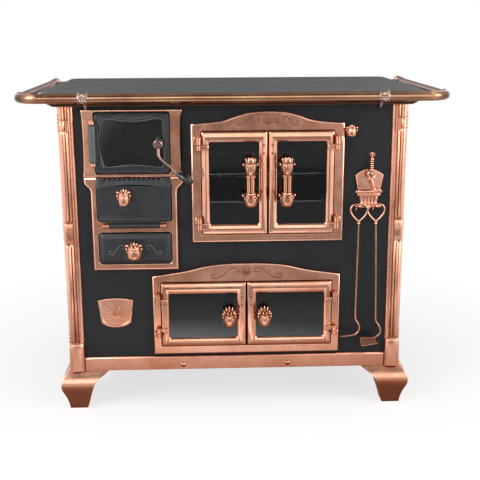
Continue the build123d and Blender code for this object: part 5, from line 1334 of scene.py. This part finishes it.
def stage(studio):
    studio_floor()
    studio_world(studio.ambient)
    aim = (0, 0, 0.5)
    softbox("key", (-2.4, -2.4, 2.3), aim, (1.6, 2.2), studio.key_power)
    softbox("fill", (2.7, -2.0, 1.5), aim, (1.4, 2.2), studio.fill_power)
    softbox("top", (0, -0.6, 3.2), (0, 0, 0), (3.0, 2.4), studio.top_power, False)
    camera()
    bpy.context.scene.view_settings.view_transform = "Standard"


# ---- settings, operators and panel
def colour(name, description, default):
    return bpy.props.FloatVectorProperty(name=name, description=description, subtype="COLOR", size=3, min=0,
                                         max=1, default=default)


def power(name, description, default):
    return bpy.props.FloatProperty(name=name, description=description, unit="POWER", default=default)


class CookstoveFinish(bpy.types.PropertyGroup):
    """Colours and sheen of the stove's finishes"""
    copper: colour("Copper", "Plated copper in the open", (0.78, 0.41, 0.285))
    copper_shade: colour("Copper shade", "Copper in the darker clouds of its tone", (0.63, 0.275, 0.17))
    copper_roughness: bpy.props.FloatProperty(name="Copper roughness", subtype="FACTOR", min=0, max=1,
                                              description="Sheen of the cast copper parts", default=0.2)
    black: colour("Black casting", "Blackened cast iron", (0.009, 0.0095, 0.011))
    panel: colour("Panel", "Painted steel of the casing", (0.014, 0.0145, 0.017))
    plate: colour("Cooking plate", "Iron of the cooking plate", (0.040, 0.041, 0.042))
    glass: colour("Glass", "Tint of the door panes", (0.42, 0.44, 0.45))
    scroll_wire: bpy.props.FloatProperty(name="Scroll line", unit="LENGTH", min=0.0003, max=0.003,
                                         description="Half width of the engraved scrolls", default=0.0012)


class CookstoveStudio(bpy.types.PropertyGroup):
    """Light of the studio"""
    key_power: power("Key", "Softbox on the left", 70.0)
    fill_power: power("Fill", "Softbox on the right", 42.0)
    top_power: power("Top", "Softbox overhead", 70.0)
    ambient: bpy.props.FloatProperty(name="Ambient", description="Light of the room on dull surfaces", min=0,
                                     default=0.2)


def scroll_wire(context):
    """Half width of the scroll lines, in millimetres."""
    return context.scene.cookstove_finish.scroll_wire / MM


class COOKSTOVE_OT_cooktop(bpy.types.Operator):
    """Cooking plate and the coved cornice under it"""
    bl_idname = "cookstove.cooktop"
    bl_label = "Cooking Plate and Cornice"

    def execute(self, context):
        cooktop()
        return {"FINISHED"}


class COOKSTOVE_OT_posts(bpy.types.Operator):
    """Reeded corner posts"""
    bl_idname = "cookstove.posts"
    bl_label = "Corner Posts"

    def execute(self, context):
        for side, hand in SIDES:
            post(side, hand)
        return {"FINISHED"}


class COOKSTOVE_OT_feet(bpy.types.Operator):
    """Four curved feet and the plinth strip between them"""
    bl_idname = "cookstove.feet"
    bl_label = "Feet and Plinth"

    def execute(self, context):
        feet()
        plinth()
        return {"FINISHED"}


class COOKSTOVE_OT_rail(bpy.types.Operator):
    """Towel rail with its rods and rosette brackets"""
    bl_idname = "cookstove.rail"
    bl_label = "Towel Rail"

    def execute(self, context):
        coat(copper_rail_painted_dark, "front_rail")
        for side, hand in SIDES:
            side_rail(side, hand)
        brackets()
        return {"FINISHED"}


class COOKSTOVE_OT_fire_front(bpy.types.Operator):
    """Fire surround with its visor, door and latch"""
    bl_idname = "cookstove.fire_front"
    bl_label = "Fire Front"

    def execute(self, context):
        fire_surround_upper()
        fire_surround_lower()
        visor()
        fire_door()
        fire_latch()
        return {"FINISHED"}


class COOKSTOVE_OT_ash_front(bpy.types.Operator):
    """Air flap and ash drawer with their crown knobs"""
    bl_idname = "cookstove.ash_front"
    bl_label = "Air Flap and Ash Drawer"

    def execute(self, context):
        air_flap()
        ash_drawer(scroll_wire(context) * 0.68)
        return {"FINISHED"}


class COOKSTOVE_OT_oven_front(bpy.types.Operator):
    """Oven surround, its pair of glazed doors and their handles"""
    bl_idname = "cookstove.oven_front"
    bl_label = "Oven Front"

    def execute(self, context):
        oven_surround(scroll_wire(context))
        door_pair("oven", OVEN_DOORS, OVEN_HINGES, (702, 723))
        for side, hand in SIDES:
            oven_handle(side, hand)
        return {"FINISHED"}


class COOKSTOVE_OT_cupboard_front(bpy.types.Operator):
    """Cupboard surround, its pair of glazed doors and their knobs"""
    bl_idname = "cookstove.cupboard_front"
    bl_label = "Cupboard Front"

    def execute(self, context):
        cupboard_surround(scroll_wire(context) * 1.2)
        door_pair("cupboard", CUP_DOORS, CUP_HINGES, (294, 316))
        for side, hand in SIDES:
            cupboard_knob(side, hand)
        return {"FINISHED"}


class COOKSTOVE_OT_fittings(bpy.types.Operator):
    """Damper knob and badge"""
    bl_idname = "cookstove.fittings"
    bl_label = "Damper and Badge"

    def execute(self, context):
        damper()
        badge()
        return {"FINISHED"}


class COOKSTOVE_OT_tools(bpy.types.Operator):
    """Tool plaque with poker, shovel and lid lifter"""
    bl_idname = "cookstove.tools"
    bl_label = "Fire Tools"

    def execute(self, context):
        tool_plaque()
        poker()
        shovel()
        lid_lifter()
        return {"FINISHED"}


class COOKSTOVE_OT_linings(bpy.types.Operator):
    """Casing, linings, racks, bricks, grate and flue spigot"""
    bl_idname = "cookstove.linings"
    bl_label = "Casing and Linings"

    def execute(self, context):
        linings()
        return {"FINISHED"}


class COOKSTOVE_OT_stage(bpy.types.Operator):
    """Pale floor, soft light and the camera"""
    bl_idname = "cookstove.stage"
    bl_label = "Stage"

    def execute(self, context):
        stage(context.scene.cookstove_studio)
        return {"FINISHED"}


OPERATORS = (COOKSTOVE_OT_cooktop, COOKSTOVE_OT_posts, COOKSTOVE_OT_feet, COOKSTOVE_OT_rail,
             COOKSTOVE_OT_fire_front, COOKSTOVE_OT_ash_front, COOKSTOVE_OT_oven_front,
             COOKSTOVE_OT_cupboard_front, COOKSTOVE_OT_fittings, COOKSTOVE_OT_tools, COOKSTOVE_OT_linings,
             COOKSTOVE_OT_stage)


class VIEW3D_PT_cookstove(bpy.types.Panel):
    """Lists the stove's operators and settings"""
    bl_label = "Cookstove"
    bl_space_type = "VIEW_3D"
    bl_region_type = "UI"
    bl_category = "Cookstove"

    def draw(self, context):
        for group in (context.scene.cookstove_finish, context.scene.cookstove_studio):
            for name in group.__annotations__:
                self.layout.prop(group, name)
        for operator in OPERATORS:
            self.layout.operator(operator.bl_idname)


CLASSES = (CookstoveFinish, CookstoveStudio, *OPERATORS, VIEW3D_PT_cookstove)


def register():
    for each in CLASSES:
        bpy.utils.register_class(each)
    bpy.types.Scene.cookstove_finish = bpy.props.PointerProperty(type=CookstoveFinish)
    bpy.types.Scene.cookstove_studio = bpy.props.PointerProperty(type=CookstoveStudio)


def unregister():
    del bpy.types.Scene.cookstove_studio
    del bpy.types.Scene.cookstove_finish
    for each in reversed(CLASSES):
        bpy.utils.unregister_class(each)


def main():
    register()
    for operator in OPERATORS:
        getattr(bpy.ops.cookstove, operator.bl_idname.split(".")[1])()


if __name__ == "__main__":
    main()
